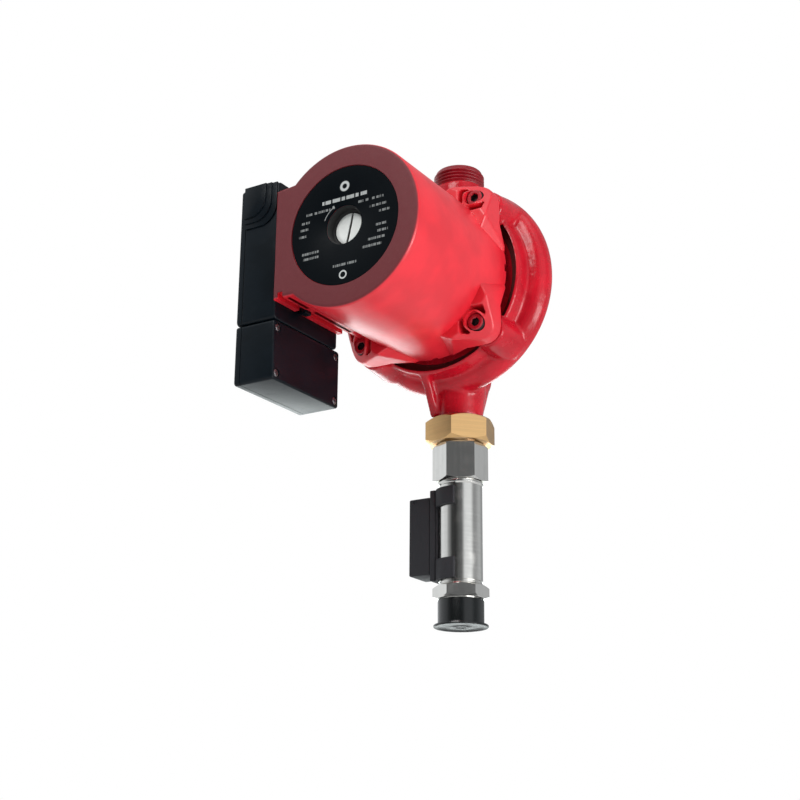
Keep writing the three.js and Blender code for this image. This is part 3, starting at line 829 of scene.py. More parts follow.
class Workshop:
    """Turns shapes into finished pieces and logs each one's face count."""

    def piece(
        self,
        name: str,
        shape: Shape,
        body: str,
        finish: Finish,
        replaces: Sequence[str] = (),
        angle: float = 35.0,
    ) -> None:
        """Finishes a piece.

        Args:
            name: its name.
            shape: its shape, in millimetres.
            body: the body that it rides on.
            finish: its finish.
            replaces: the nodes that it stands for.
            angle: the angle over which its edges stay sharp, in degrees.
        """
        bmesh.ops.scale(shape.bm, vec=(MM, MM, MM), verts=shape.bm.verts)
        mesh = bpy.data.meshes.new(name)
        shape.bm.to_mesh(mesh)
        shape.bm.free()
        mesh.shade_smooth()
        mesh.set_sharp_from_angle(angle=math.radians(angle))
        made = add_object(name, mesh)
        mesh.materials.append(finish.material())
        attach(made, body)
        if replaces:
            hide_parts(*replaces)
        LOG.info("%s: %d faces on %s", name, len(mesh.polygons), body)

    def repaint(self) -> None:
        """Gives the nodes that are carried over from the solids their finishes."""
        for finish, names in CARRIED.items():
            for name in names:
                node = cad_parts[name]
                node.data.materials.clear()
                node.data.materials.append(finish.material())
                for slot in node.material_slots:
                    slot.link = "OBJECT"
                    slot.material = finish.material()
                LOG.info("%s: repainted", name)


def thread_profile(crest: float, depth: float, pitch: float, low: float, high: float) -> list[Point]:
    """A row of rounded thread ridges from low to high, as (radius, height) points."""
    points: list[Point] = []
    count = int((high - low) / pitch)
    for i in range(count):
        base = low + i * pitch
        ridge = ((depth, 0.0), (depth * 0.3, 0.28), (0.0, 0.42), (0.0, 0.58), (depth * 0.3, 0.72))
        points += [(crest - inward, base + pitch * share) for inward, share in ridge]
    points.append((crest - depth, low + count * pitch))
    return points


def corners(offset: float) -> list[Point]:
    """The four corners of the motor flange, as (x, z)."""
    return [(offset, offset), (offset, -offset), (-offset, -offset), (-offset, offset)]


def bars(
    axis: str, start: float, end: float, radius: float, spots: Iterable[Point], steps: int = 48
) -> list[Shape]:
    """A round bar along X, Y or Z through each of several spots."""
    return [Shape.bar(axis, start, end, radius, spot, steps) for spot in spots]


# ------------------------------------------------------------------ pump end


@dataclass
class PumpEnd:
    """The cast-iron volute with its two threaded ports."""

    shop: Workshop
    bead_r: float = 60.2
    bead_minor: float = 9.1
    bead_y: float = -9.6
    bead_shift: tuple[float, float, float] = (1.1, 0.0, 1.4)
    ring_y: float = -29.6
    ring_r: float = 58.2
    channel_r: float = 56.7
    channel_y: float = -23.4
    lobe_y: float = -37.5
    screw: float = 40.8
    neck_r: float = 16.0
    bore_r: float = 12.5
    thread_r: float = 16.6
    port: float = 90.0
    suction_y: float = 12.0
    bend_z: float = -52.0
    grain: float = 1.15

    @property
    def bend(self) -> Point:
        """Where the lower passage turns into the volute."""
        return (0, self.suction_y, self.bend_z)

    def volute(self) -> Shape:
        """The casting before it is machined."""
        minor = self.bead_minor
        turns = [math.radians(degrees) for degrees in range(60, -91, -6)]
        arc = [(self.bead_r + minor * math.cos(t), self.bead_y + minor * math.sin(t)) for t in turns]
        back = [(0, 24.0), (21, 24.0), (25, 22.8), (29, 20.2), (42, 12.0)]
        solid = Shape.spun([*back, *arc, (0, self.bead_y - minor)], Axis.MOTOR, 144).moved(self.bead_shift)
        ledge_profile = [(0, self.ring_y), (self.ring_r, self.ring_y), (self.ring_r + 1.4, -16.0), (0, -16.0)]
        ledge = Shape.spun(ledge_profile, Axis.MOTOR, 144)
        lobes = [Shape.rod((x, self.lobe_y, z), (x, -12.0, z), 10.4, 12.8) for x, z in corners(self.screw)]
        bulge = [
            Shape.rod(self.bend, (0, self.suction_y, 4), 14.3),
            Shape.ball(self.bend, 14.35),
            Shape.ball((0, self.suction_y - 0.3, 4), 14.3),
            Shape.rod((0, 0, -79), self.bend, 13.9),
        ]
        upper = Shape.spun([(0, 40), (17.6, 40), (16.4, 66), (self.neck_r, 78.6), (0, 78.6)], Axis.PIPE, 96)
        lower_profile = [(0, -81.8), (14.2, -81.8), (14.4, -79), (15.3, -72), (16.2, -66)]
        lower_profile += [(17.0, -40), (0, -40)]
        lower = Shape.spun(lower_profile, Axis.PIPE, 96)
        rib = [(-26.0, -50.0), (-26.0, -59.0), (-22.0, -64.0), (-13.5, -80.5), (-2.0, -80.5), (-2.0, -50.0)]
        gusset = Shape.slab(rib, "X", -13.8, -8.6)
        return solid.beside(ledge, *lobes, *bulge, upper, lower, gusset)

    def machined(self) -> list[Shape]:
        """What is cut out of the casting."""
        chamber = [
            (0, -46), (45, -46), (45, -26.2), (33, -26.2), (33, -16.5), (55, -15.5), (60.4, -12), (60.4, -7),
            (56, -3.5), (35, -3.5), (33, -9.5), (16, -9.5), (16, -2), (13.5, -2), (13.5, 10), (0, 10),
        ]
        return [
            Shape.spun(chamber, Axis.MOTOR, 96),
            Shape.bar("Y", -60, self.ring_y, 50.75, steps=128),
            Shape.bar("Y", -29.9, self.channel_y, self.channel_r, steps=128),
            Shape.bar("Z", 56, self.port + 5, self.bore_r, steps=64),
            Shape.bar("Z", -100, -73, self.bore_r, steps=64),
            Shape.rod((0, 0, -82), self.bend, 9.5),
            Shape.rod(self.bend, (0, self.suction_y, 0), 10.3),
        ]

    def port_sleeve(self, low: float, high: float, rim: float) -> Shape:
        """One threaded port.

        Args:
            low: where its thread starts, nearest the casting.
            high: where it ends.
            rim: the port's face.

        Returns:
            The sleeve, with its bore open.
        """
        bore, out = self.bore_r, self.thread_r
        ridges = thread_profile(out, 1.15, G1_PITCH, min(low, high), max(low, high))
        if rim > 0:
            profile = [(bore, low - 2), (self.neck_r - 0.4, low - 2), *ridges, (out - 1.5, rim - 0.5)]
            profile += [(out - 2.0, rim), (bore + 0.5, rim), (bore, rim - 0.5)]
        else:
            profile = [(bore, rim + 0.5), (bore + 0.5, rim), (out - 1.6, rim), *ridges]
            profile += [(14.2, low + 1.0), (bore, low + 1.0)]
        return Shape.spun(profile, Axis.PIPE, 128)

    def build(self) -> None:
        """Makes and finishes the pump end."""
        shop = self.shop
        casting = self.volute().cast(self.grain, 5).cut(*self.machined())
        casting.cut(*bars("Y", -45, -21, 3.2, corners(self.screw), 24))
        shop.piece("volute_casting", casting, "pump", Palette.VOLUTE, ["pump_housing"], 50)
        # Painted shadow: a thin near-black sheet lines the groove between the barrel and the volute ring.
        out, floor = self.channel_r - 0.05, self.channel_y
        shadow_sheet = [(51, floor - 0.3), (out - 0.25, floor - 0.3), (out - 0.25, -29.2), (out, -29.2)]
        shadow_sheet += [(out, floor - 0.05), (51, floor - 0.05)]
        shop.piece("channel_shadow_sheet", Shape.spun(shadow_sheet, Axis.MOTOR, 128), "pump", Palette.CHANNEL_SHADOW)
        # Both ports wear the darker port enamel, which is painted shade.
        shop.piece("upper_port", self.port_sleeve(78.4, 89.2, self.port), "pump", Palette.PORT_SHADED, (), 60)
        shop.piece("lower_port", self.port_sleeve(-81.8, -89.6, -self.port), "pump", Palette.PORT_SHADED, (), 60)


# ------------------------------------------------------------------ motor


@dataclass
class Motor:
    """The die-cast motor housing with its flange, plate, plug and screws."""

    shop: Workshop
    radius: float = 50.4
    inner_r: float = 47.0
    front: float = -133.8
    pad_rear: float = -66.0
    rear: float = -29.9
    pad_x: float = -49.4
    pad_low: float = -36.0
    pad_high: float = 33.6
    edge: float = 2.2
    screw: float = 40.8
    plug_hole: float = 12.1
    plate_r: float = 36.8

    def barrel_front(self) -> Shape:
        """The front of the barrel with the flat pad that the terminal box sits on."""
        made = Shape()
        flat = Matrix.Translation((0, self.front, 0)) @ Matrix.Rotation(math.pi / 2, 4, "X")
        bmesh.ops.create_circle(made.bm, cap_ends=True, segments=180, radius=self.radius, matrix=flat)
        for limit in (self.pad_high, self.pad_low):
            side = [v for v in made.bm.verts if v.co.x < 0 and v.co.z * limit > 0]
            inside = max((v for v in side if abs(v.co.z) < abs(limit)), key=lambda v: abs(v.co.z))
            outside = min((v for v in side if abs(v.co.z) >= abs(limit)), key=lambda v: abs(v.co.z))
            outside.co.z = limit
            outside.co.x = -math.sqrt(self.radius**2 - limit**2)
            inside.co.z = limit
            inside.co.x = self.pad_x
        for v in made.bm.verts:
            if v.co.x < self.pad_x * 0.7 and self.pad_low < v.co.z < self.pad_high:
                v.co.x = self.pad_x
        made.extrude(made.bm.faces[:][0], (0, self.pad_rear - self.front, 0))
        made.round_rim("Y", self.front, self.edge, 5)
        groove = Shape.box((-46, self.front - 2, -40), (-42.2, self.pad_rear + 2, -32.4))
        notch = Shape.box((-52, -111.5, -40), (-42, -104, -32.0))
        return made.cut(
            Shape.bar("Y", -130.3, -20, self.inner_r, steps=128),
            Shape.bar("Y", self.front - 1, -128, self.plug_hole, steps=96),
            Shape.bar("Y", self.front - 1, self.front + 0.8, self.plate_r + 0.3, steps=144),
            Shape.bar("X", -60, -40, 6.0, (-95, 0)),
            groove,
            notch,
        )

    def barrel_rear(self) -> Shape:
        """The round rear of the barrel, with its drain notches."""
        out, front, rear = self.radius - 0.02, self.pad_rear - 0.5, self.rear
        profile = [(self.inner_r, front), (out, front), (out, rear - 0.6)]
        profile += [(self.radius - 0.6, rear), (self.inner_r, rear)]
        low, high = (44, rear - 2.6, -2.4), (54, rear + 1, 2.4)
        drains = [Shape.box(low, high).turned(90 * i, "Y") for i in range(4)]
        return Shape.spun(profile, Axis.MOTOR, 180).cut(*drains)

    def flange(self) -> Shape:
        """The square flange with its four screw bosses and webs, as cast."""
        half = self.radius + 0.05
        square = [(-half, -half), (half, -half), (half, half), (-half, half)]
        plate = Shape.slab(square, "Y", -60.0, -30.5, 9.6)
        slope = [(0, -56.4), (56.2, -56.4), (67.5, -46.0), (80, -35.4), (80, -28), (0, -28)]
        plate.common(Shape.spun(slope, Axis.MOTOR, 144))
        inset = half - 3.0
        hollow = [(31.6, 31.4), (inset, 31.4), (inset, inset), (31.6, inset)]
        well = Shape()
        for i in range(4):
            well.beside(Shape.slab(hollow, "Y", -62.0, -42.2).turned(90 * i, "Y"))
        keep = bars("Y", -64, -30, 6.9, corners(self.screw)) + bars("Y", -64.5, -29, 6.2, corners(44.2))
        well.cut(Shape.bar("Y", -65, -30, self.radius - 0.3, steps=144), *keep)
        return plate.cut(well, *self.flange_relief())

    def ramp(self, outer: float) -> Shape:
        """The slanted wedge that lets a web run out into the barrel.

        Args:
            outer: how far out the wedge reaches.

        Returns:
            The wedge, below the barrel.
        """
        wide, narrow = 30.6, 16.2
        half = [(wide, -64), (wide, -57), (narrow, -31), (narrow, -26)]
        outline = half + [(-x, y) for x, y in reversed(half)]
        wedge = Shape.slab(outline, "Z", outer, -44.0)
        for v in wedge.bm.verts:
            if v.co.z > -45.0:
                inner = 12.5 if abs(v.co.x) > 20.0 else 0.4
                v.co.x = math.copysign(inner, v.co.x)
        return wedge

    def flange_relief(self) -> list[Shape]:
        """What is trimmed off the flange between its corners and behind them."""
        rear = [(12.3, -30.9), (28.2, -38.6), (28.2, -24), (12.3, -24)]
        mirrored = [(-x, y) for x, y in rear]
        trims = []
        for i in range(4):
            inner = -25.9 - 0.07 * i
            side = [
                self.ramp(-52.0 - 0.05 * i),
                Shape.slab(rear, "Z", -63.0, inner),
                Shape.slab(mirrored, "Z", -63.2, inner - 0.2),
                Shape.box((27.1, -37.8, -64.0), (64.0, -23.0, -27.3)),
            ]
            trims += [trim.turned(90 * i, "Y") for trim in side]
        return trims

    def rail(self) -> Shape:
        """The inner rail under the pad, from its rounded nose to the flange."""
        bar = Shape.box((-42.2, -132.6, -36.0), (-37.2, -50.0, -24.0), 1.5)
        nose = Shape.bar("Y", -132.4, -124.0, 3.4, (-39.7, -31.6))
        nose.bevel([e for e in nose.bm.edges if e.calc_face_angle(0.0) > math.radians(40.0)], 1.2)
        return bar.beside(nose).cut(Shape.box((-46, -111.2, -40), (-36, -104.4, -33.4)))

    def build(self) -> None:
        """Makes and finishes the motor."""
        shop = self.shop
        shop.piece("barrel_front", self.barrel_front(), "pump", Palette.MOTOR, ["stator_housing"], 32)
        shop.piece("barrel_rear", self.barrel_rear(), "pump", Palette.MOTOR)
        flange = self.flange().cast(0.72, 5)
        flange.cut(Shape.bar("Y", -70, -20, self.radius - 1.2, steps=128))
        flange.cut(*bars("Y", -64, -47.2, 5.6, corners(self.screw)))
        flange.cut(*bars("Y", -48, -30, 3.4, corners(self.screw), 32))
        shop.piece("motor_flange", flange, "pump", Palette.MOTOR, (), 50)
        shop.piece("pad_rail", self.rail(), "pump", Palette.MOTOR)
        self.plate()
        self.plug()
        self.screws()

    def plate(self) -> None:
        """Makes the printed plate."""
        outer, hole = self.plate_r, 12.03
        back, face = self.front + 0.65, self.front + 0.22
        profile = [(hole, back), (hole, face + 0.1), (hole + 0.15, face)]
        profile += [(outer - 0.25, face), (outer, face + 0.2), (outer, back)]
        plate = Shape.spun(profile, Axis.MOTOR, 160)
        self.shop.piece("label_plate", plate, "pump", Palette.PLATE, ["nameplate"])

    def plug(self) -> None:
        """Makes the slotted vent plug and the dark well round it."""
        well = [(12.0, self.front + 0.75), (11.6, self.front + 0.9), (11.5, -127.4)]
        well += [(10.4, -126.6), (10.2, -125.0), (12.0, -125.0)]
        self.shop.piece("plug_well", Shape.spun(well, Axis.MOTOR, 96), "pump", Palette.RUBBER)
        head = [(0, -127.2), (6.6, -127.2), (7.0, -127.4), (9.2, -127.4), (9.6, -127.25), (9.75, -126.8)]
        stem = thread_profile(5.6, 0.5, 1.5, -122.4, -116.4)
        head += [(9.75, -123.2), (9.55, -123.0), (5.6, -123.0), *stem, (0, -116.0)]
        body = Shape.spun(head, Axis.MOTOR, 96)
        slot = Shape.box((-0.75, -129, -11), (0.75, -125.2, 11)).turned(12, "Y")
        self.shop.piece("plug_head", body.cut(slot), "plug", Palette.PLUG, ["vent_plug"])

    def screws(self) -> None:
        """Makes the four socket-head screws."""
        profile = [(0, -53.2), (4.6, -53.2), (5.0, -52.8), (5.0, -47.4)]
        profile += [(2.9, -47.4), (2.9, -24.6), (2.4, -24.0), (0, -24.0)]
        for i, (x, z) in enumerate(corners(self.screw)):
            screw = Shape.spun(profile, Axis.MOTOR, 48)
            socket = Shape.bar("Y", -55, -50.0, 2.88, steps=6)
            lead = Shape.rod((0, -53.4, 0), (0, -52.7, 0), 3.3, 2.5, steps=48)
            screw.cut(socket, lead).turned(17.0 * i, "Y").moved((x, 0, z))
            self.shop.piece(f"socket_screw_{i + 1}", screw, "pump", Palette.SCREW, [f"flange_screw_{i + 1}"])


# ------------------------------------------------------------------ electrical boxes


@dataclass
class Boxes:
    """The terminal box and the control box below it."""

    shop: Workshop
    inner: float = -49.7
    split: float = -73.4
    outer: float = -77.9
    front: float = -130.8
    upper_rear: float = -66.5
    lower_rear: float = -63.6
    top: float = 42.0
    upper_bottom: float = -46.4
    lower_top: float = -46.9
    bottom: float = -83.7
    wall: float = 2.5
    lid_screw: tuple[float, float] = (-112.0, -20.0)

    def shell(self, y: Point, z: Point, corner: float = 2.6) -> Shape:
        """A tray that opens towards -X, with rounded corners and softened inner edges.

        Args:
            y: its front and rear.
            z: its bottom and top.
            corner: the radius of its long edges.

        Returns:
            The tray.
        """
        body = Shape.box((self.split, y[0], z[0]), (self.inner, y[1], z[1]), corner, "X", 5)
        body.round_rim("X", self.inner, 0.9)
        wall = self.wall
        low = (self.split - 2, y[0] + wall, z[0] + wall)
        high = (self.inner - wall, y[1] - wall, z[1] - wall)
        return body.cut(Shape.box(low, high, 1.0, "X"))

    def lid(self, y: Point, z: Point, joint: float, corner: float = 2.6) -> Shape:
        """A shallow lid with a rounded outer rim."""
        body = Shape.box((self.outer, y[0], z[0]), (joint, y[1], z[1]), corner, "X", 5)
        body.round_rim("X", self.outer, 1.1, 4)
        hollow = Shape.box((self.outer + 2, y[0] + 2, z[0] + 2), (joint + 2, y[1] - 2, z[1] - 2), 1.0, "X")
        return body.cut(hollow)

    def boss(self) -> list[Shape]:
        """The three steps of the raised corner on the terminal box."""
        steps = []
        for i in range(3):
            low, right, face = 15.0 + 3.0 * i, -50.6 - 3.5 * i, self.front - 1.0 * (i + 1)
            turns = [math.radians(-90 + 7.5 * k) for k in range(13)]
            round_off = [(right + 12.0 * (math.cos(t) - 1), low + 12.0 * (math.sin(t) + 1)) for t in turns]
            high = self.top - 0.4
            outline = [(self.split, high), (self.split, low), *round_off, (right, high)]
            steps.append(Shape.slab(outline, "Y", face, self.front + 0.4).round_rim("Y", face, 0.35, 2))
        return steps

    def build(self) -> None:
        """Makes and finishes both boxes."""
        self.terminal()
        self.control()

    def terminal(self) -> None:
        """Makes the upper box."""
        y, z = (self.front, self.upper_rear), (self.upper_bottom, self.top)
        base = self.shell(y, z)
        spot = self.lid_screw
        base.union(Shape.bar("X", self.split + 1, self.inner - 1, 4.0, spot))
        base.cut(
            Shape.bar("X", self.inner - 5, self.inner + 1, 6.0, (-95, 0)),
            Shape.bar("Z", self.top - 5, self.top + 1, 7.2, (-62.5, -118), 64),
            Shape.bar("X", self.split - 1, -56, 1.8, spot, 24),
        )
        base.beside(*self.boss())
        self.shop.piece("terminal_shell", base, "pump", Palette.BOX, ["terminal_base"])
        cover = self.lid(y, z, self.split - 0.6)
        cover.cut(Shape.bar("X", self.outer - 1, self.outer + 1.9, 2.6, spot, 32))
        cover.cut(Shape.bar("X", self.outer - 1, self.outer + 6, 1.7, spot, 32))
        self.shop.piece("terminal_lid", cover, "pump", Palette.BOX, ["terminal_cover"])
        head = [(0, 0.1), (2.0, 0.1), (2.3, 0.45), (2.3, 1.8), (1.5, 1.8), (1.5, 19.9), (0, 19.9)]
        cross = [Shape.box((-a, -b, -1), (a, b, 0.9)) for a, b in ((3, 0.35), (0.35, 3))]
        screw = Shape.spun(head, Axis.PIPE, 40).cut(*cross)
        screw.turned(90, "Y").moved((self.outer, *spot))
        self.shop.piece("lid_screw", screw, "pump", Palette.ZINC, ["cover_screw"])
        ring = [(3.8, 38.0), (8.4, 38.0), (8.6, 38.3), (8.6, 39.2), (6.9, 39.3), (6.9, 42.2)]
        ring += [(8.6, 42.3), (8.6, 42.8), (8.0, 43.35), (4.6, 43.4), (3.9, 43.0)]
        grommet = Shape.spun(ring, Axis.PIPE, 72).moved((-62.5, -118, 0))
        self.shop.piece("entry_grommet", grommet, "pump", Palette.RUBBER, ["cable_grommet"])
        clip = Shape.box((-46.4, -110.8, -38.2), (-41.4, -105.0, -33.3), 0.8)
        clip.beside(Shape.box((-48.6, -109.4, -36.9), (-45.5, -106.4, -33.6), 0.5))
        self.shop.piece("rail_clip", clip, "pump", Palette.BOX, ["box_clip"])

    def screw_spots(self) -> list[Point]:
        """The four corners of the control box that hold screws, as (y, z)."""
        front, rear = self.front + 4.2, self.lower_rear - 3.2
        low, high = self.bottom + 4.5, self.lower_top - 4.0
        return [(front, high), (front, low), (rear, high), (rear, low)]

    def control(self) -> None:
        """Makes the lower box."""
        y, z = (self.front, self.lower_rear), (self.bottom, self.lower_top)
        base = self.shell(y, z, 2.0)
        spots = self.screw_spots()
        base.union(*bars("X", self.split + 1, self.inner - 1.4, 3.4, spots, 32))
        base.cut(*bars("X", self.inner - 1.3, self.inner + 1, 2.6, spots, 32))
        base.cut(*bars("X", self.split - 2, self.inner + 1, 1.4, spots, 24))
        self.shop.piece("control_shell", base, "pump", Palette.BOX, ["control_base"])
        lid = self.lid(y, z, self.split - 0.35, 2.0)
        self.shop.piece("control_lid", lid, "pump", Palette.BOX, ["control_cover"])
        head = [(0, -0.2), (1.7, -0.25), (2.2, -0.5), (2.2, -1.1), (1.1, -1.1), (1.1, -16), (0, -16)]
        for i, spot in enumerate(spots):
            cross = [Shape.box((-a, -b, -0.9), (a, b, 1)) for a, b in ((1.6, 0.3), (0.3, 1.6))]
            screw = Shape.spun(head, Axis.PIPE, 32).cut(*cross)
            screw.turned(90, "Y").moved((self.inner, *spot))
            self.shop.piece(f"box_screw_{i + 1}", screw, "pump", Palette.ZINC, [f"control_screw_{i + 1}"])


# ------------------------------------------------------------------ flow switch


@dataclass
class FlowSwitch:
    """The nut, the switch body and what clips to it or caps it."""

    shop: Workshop
    hex_top: float = -98.7
    hex_bottom: float = -122.5
    tube_r: float = 13.5
    tube_bottom: float = -187.0
    nut_top: float = -82.7
    nut_bottom: float = -98.3
    clip_top: float = -127.5
    clip_bottom: float = -184.3
    clip_inner: float = 13.8
    clip_outer: float = 15.5

    def nut(self) -> None:
        """Makes the union nut."""
        body = Shape.hexagon(39.0, self.nut_bottom, self.nut_top, -14.5, 0.75)
        bore = thread_profile(17.6, 0.7, G1_PITCH, -95.4, -83.6)
        inside = [(0, self.nut_bottom - 1), (13.6, self.nut_bottom - 1), (13.6, -95.9), (16.9, -95.9), *bore]
        inside += [(17.4, self.nut_top + 0.3), (17.4, self.nut_top + 2), (0, self.nut_top + 2)]
        body.cut(Shape.spun(inside, Axis.PIPE, 96))
        self.shop.piece("brass_nut", body, "nut", Palette.BRASS, ["union_nut"], 25)

    def body(self) -> None:
        """Makes the switch body and the outlet fitting."""
        collar = [(8.5, -92.1), (15.2, -92.1), (15.8, -92.6), (15.8, -95.5)]
        collar += [(13.2, -95.5), (13.2, -98.9), (8.5, -98.9)]
        shape = Shape.spun(collar, Axis.PIPE, 96)
        hexagon = Shape.hexagon(30.0, self.hex_bottom, self.hex_top, -90.0, 0.55)
        hexagon.cut(Shape.bar("Z", -124, -97, 8.5, steps=64))
        tube = [(10.9, -125), (8.5, -125), (8.5, self.hex_bottom + 1), (12.6, self.hex_bottom + 1)]
        tube += [(12.6, self.hex_bottom - 0.2), (14.1, self.hex_bottom - 0.5), (14.3, self.hex_bottom - 1.2)]
        tube += [(14.2, self.hex_bottom - 2.0), (self.tube_r, self.hex_bottom - 2.9), (self.tube_r, -184.9)]
        tube += [(13.1, -185.2), (13.1, -186.0), (self.tube_r - 0.1, -186.3), (self.tube_r - 0.1, -186.7)]
        tube += [(13.2, self.tube_bottom), (10.9, self.tube_bottom)]
        shape.beside(hexagon, Shape.spun(tube, Axis.PIPE, 144))
        self.shop.piece("switch_barrel", shape, "flow_switch", Palette.NICKEL, ["switch_body"], 25)
        lower = Shape.hexagon(30.0, -195.4, -187.5, -90.0, 0.6)
        lower.cut(Shape.bar("Z", -200, -180, 7.0, steps=64))
        ridges = thread_profile(13.2, 0.95, G34_PITCH, -210.2, -196.4)
        spigot = [(7.0, -170.0), (10.4, -170.0), (10.6, -170.4), (10.6, -188.0), (7.0, -188.0)]
        tail = [(7.0, -210.9), (12.0, -210.9), *ridges, (12.2, -195.0), (7.0, -195.0)]
        lower.beside(Shape.spun(spigot, Axis.PIPE, 96), Shape.spun(tail, Axis.PIPE, 96))
        self.shop.piece("outlet_hexagon", lower, "flow_switch", Palette.NICKEL, ["outlet_fitting"], 25)
        dab = [(13.45, -186.9), (13.75, -187.0), (13.9, -187.6), (13.6, -188.2), (13.3, -188.2)]
        mark = Shape.spun(dab, Axis.PIPE, 8, 13.0, -80.0)
        self.shop.piece("lacquer_dab", mark, "flow_switch", Palette.LACQUER)

    def cap(self) -> None:
        """Makes the push-on cap."""
        wall = [(13.55, -196.0), (14.0, -196.0), (14.1, -196.3), (14.1, -209.6), (14.4, -210.7)]
        wall += [(16.5, -211.0), (16.75, -211.3), (16.75, -212.1), (16.45, -212.4), (14.2, -212.4)]
        wall += [(13.8, -212.1), (5.2, -212.1), (4.8, -212.3), (3.4, -212.3), (3.0, -212.1), (0, -212.1)]
        cap = Shape.spun([(0, -211.2), (13.55, -211.2), *wall], Axis.PIPE, 128)
        self.shop.piece("thread_cap", cap, "cap", Palette.CAP, ["protective_cap"], 40)

    def sensor(self) -> None:
        """Makes the clip and the sensor case."""
        near, far = self.clip_inner, self.clip_outer
        spine = [(near, -138.0), (far, -138.0), (far, -172.1), (near, -172.1)]
        clip = Shape.spun(spine, Axis.PIPE, 20, 80.0, 140.0)
        for top, bottom in ((self.clip_top, -138.4), (-171.7, self.clip_bottom)):
            band = [(near, top), (far, top), (far + 0.1, top - 0.3)]
            band += [(far + 0.1, bottom + 0.3), (far, bottom), (near, bottom)]
            clip.beside(Shape.spun(band, Axis.PIPE, 48, 204.0, 78.0))
            clip.beside(*bars("Z", top, bottom, 0.95, [(3.1, -14.6), (3.1, 14.6)], 16))
        saddle = Shape.box((-16.0, -10.4, self.clip_bottom), (-12.2, 10.4, self.clip_top), 0.6)
        saddle.cut(Shape.bar("Z", self.clip_bottom - 1, self.clip_top + 1, near, steps=96))
        clip.beside(saddle)
        self.shop.piece("spring_clip", clip, "sensor", Palette.SENSOR, ["sensor_clip"], 30)
        case = Shape.box((-31.2, -10, -180), (-16.2, 10, -131.5), 1.1, "", 4)
        case.cut(
            Shape.box((-29.4, -8.2, -178.2), (-15, 8.2, -133.3)),
            Shape.box((-28.2, -10.5, -134.4), (-25.2, -9.5, -130.9)),
        )
        case.cut(Shape.bar("X", -31.1, -30.4, 2.0, (0, -174), 32))
        self.shop.piece("reed_case", case, "sensor", Palette.SENSOR, ["sensor_case"], 30)

    def build(self) -> None:
        """Makes and finishes the flow switch."""
        self.nut()
        self.body()
        self.cap()
        self.sensor()


# ------------------------------------------------------------------ studio


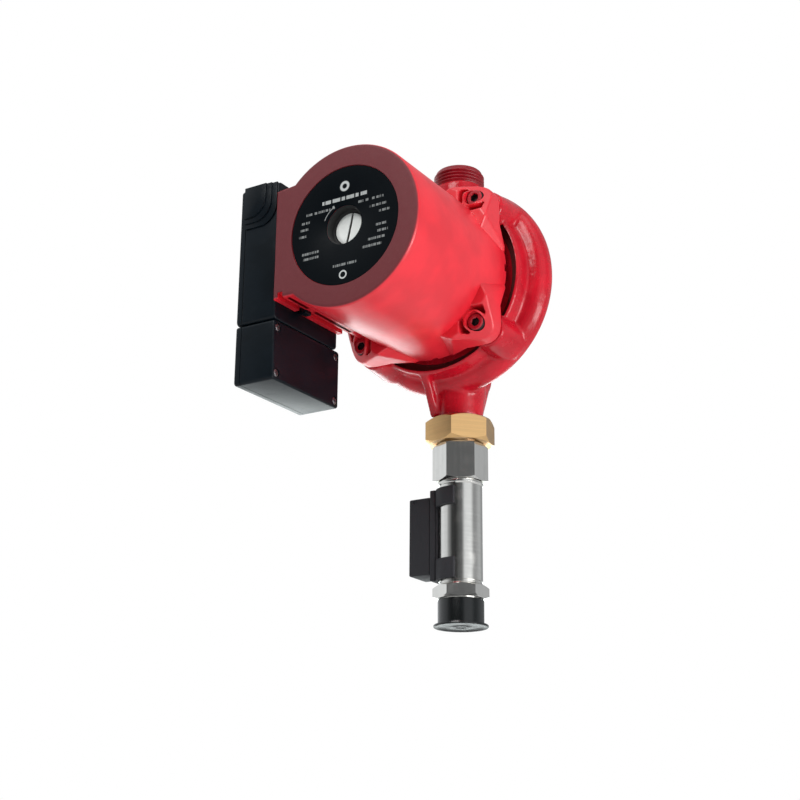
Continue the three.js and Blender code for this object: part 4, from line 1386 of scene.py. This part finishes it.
@dataclass
class Studio:
    """The camera, the pale floor and the soft lights."""

    place: tuple[float, float, float] = (0.43999, -0.77093, -0.36279)
    yaw: float = 0.5614
    pitch: float = 0.3206
    roll: float = 0.009
    lens: float = 66.49
    floor_z: float = -0.46
    walls: Profile = (
        (0.0, 0.03), (0.045, 0.05), (0.09, 0.3), (0.14, 0.85), (0.22, 1.0), (0.36, 0.95), (0.5, 0.35),
        (0.6, 0.6), (0.71, 0.35), (0.77, 1.0), (0.85, 1.0), (0.905, 0.16), (1.0, 0.03),
    )
    heights: Profile = ((0.0, 0.5), (0.2, 0.3), (0.36, 0.75), (0.5, 1.0), (0.75, 0.9), (1.0, 1.0))

    def camera(self) -> None:
        """Puts the camera at the picture's angle."""
        level = math.cos(self.pitch)
        forward = Vector((-math.sin(self.yaw) * level, math.cos(self.yaw) * level, math.sin(self.pitch)))
        right = Vector((math.cos(self.yaw), math.sin(self.yaw), 0.0))
        up = right.cross(forward)
        tilted_right = math.cos(self.roll) * right + math.sin(self.roll) * up
        tilted_up = math.cos(self.roll) * up - math.sin(self.roll) * right
        turn = Matrix((tilted_right, tilted_up, -forward)).transposed().to_4x4()
        data = bpy.data.cameras.new("camera")
        data.sensor_width = 36.0
        data.lens = self.lens
        data.clip_start, data.clip_end = 0.01, 100.0
        camera = add_object("camera", data)
        camera.matrix_world = Matrix.Translation(self.place) @ turn
        bpy.context.scene.camera = camera

    def floor(self) -> None:
        """Lays the pale floor, below the lowest sight line."""
        shape = bmesh.new()
        level = Matrix.Translation((0, 0, self.floor_z))
        bmesh.ops.create_grid(shape, x_segments=2, y_segments=2, size=6.0, matrix=level)
        mesh = bpy.data.meshes.new("floor")
        shape.to_mesh(mesh)
        shape.free()
        material = bpy.data.materials.new("pale_floor")
        graph = Graph(material)
        tone = graph.mix(graph.noise(3.0, 2.0), (0.8, 0.8, 0.8), (0.84, 0.84, 0.84))
        graph.surface(tone, 0.6)
        mesh.materials.append(material)
        add_object("floor", mesh)

    def light(
        self,
        name: str,
        place: Point,
        size: Point,
        power: float,
        target: Point = (0, -0.06, 0),
        tint: Point = (1, 1, 1),
    ) -> None:
        """Hangs one soft box.

        Args:
            name: its name.
            place: where it hangs, in metres.
            size: its width and height.
            power: its power in watts.
            target: what it faces.
            tint: its colour.
        """
        data = bpy.data.lights.new(name, "AREA")
        data.shape = "RECTANGLE"
        data.size, data.size_y = size
        data.energy = power
        data.color = tint
        lamp = add_object(name, data)
        lamp.visible_camera = False
        way = Vector(target) - Vector(place)
        lamp.matrix_world = Matrix.Translation(place) @ way.to_track_quat("-Z", "Y").to_matrix().to_4x4()

    def world(self) -> None:
        """Fills the room with pale light and shows white behind the pump."""
        world = bpy.data.worlds.new("studio")
        bpy.context.scene.world = world
        graph = Graph(world)
        way = graph.node("ShaderNodeTexCoord").out("Generated")
        split = graph.node("ShaderNodeSeparateXYZ", None, {0: way})
        around = split.out("X").angle(split.out("Y")) * (1 / (2 * math.pi)) + 0.5
        above = split.out("Z") * 0.5 + 0.5
        bright = graph.ramp(around, self.walls) * graph.ramp(above, self.heights)
        tint = (0.94, 0.97, 1.0, 1.0)
        room = graph.node("ShaderNodeBackground", None, {"Color": tint, "Strength": bright})
        backdrop = graph.node("ShaderNodeBackground", None, {"Color": (1.0, 1.0, 1.0, 1.0)})
        seen = graph.node("ShaderNodeLightPath").out("Is Camera Ray")
        mix = graph.node("ShaderNodeMixShader", None, {0: seen, 1: room.out(), 2: backdrop.out()})
        graph.node("ShaderNodeOutputWorld", None, {"Surface": mix.out()})

    def build(self) -> None:
        """Sets the stage."""
        self.camera()
        self.floor()
        self.world()
        bpy.context.scene.view_settings.view_transform = "Standard"
        self.light("low_rear_box", (-0.78, 0.9, -0.38), (1.6, 0.8), 15.0, tint=(0.92, 1.0, 0.99))
        self.light("right_low_box", (1.2, -0.08, -0.42), (1.0, 0.6), 17.0)
        self.light("top_box", (0.3, -0.5, 1.3), (1.0, 0.8), 2.5)
        self.light("high_front_box", (0.0, -1.05, 0.85), (0.7, 0.5), 9.0, target=(0, -0.1, 0))


def main() -> None:
    """Builds the pump and its studio in order."""
    logging.basicConfig(level=logging.INFO, format="%(message)s")
    Studio().build()
    shop = Workshop()
    for assembly in (PumpEnd(shop), Motor(shop), Boxes(shop), FlowSwitch(shop)):
        assembly.build()
        LOG.info("%s done", type(assembly).__name__)
    shop.repaint()


if __name__ == "__main__":
    main()
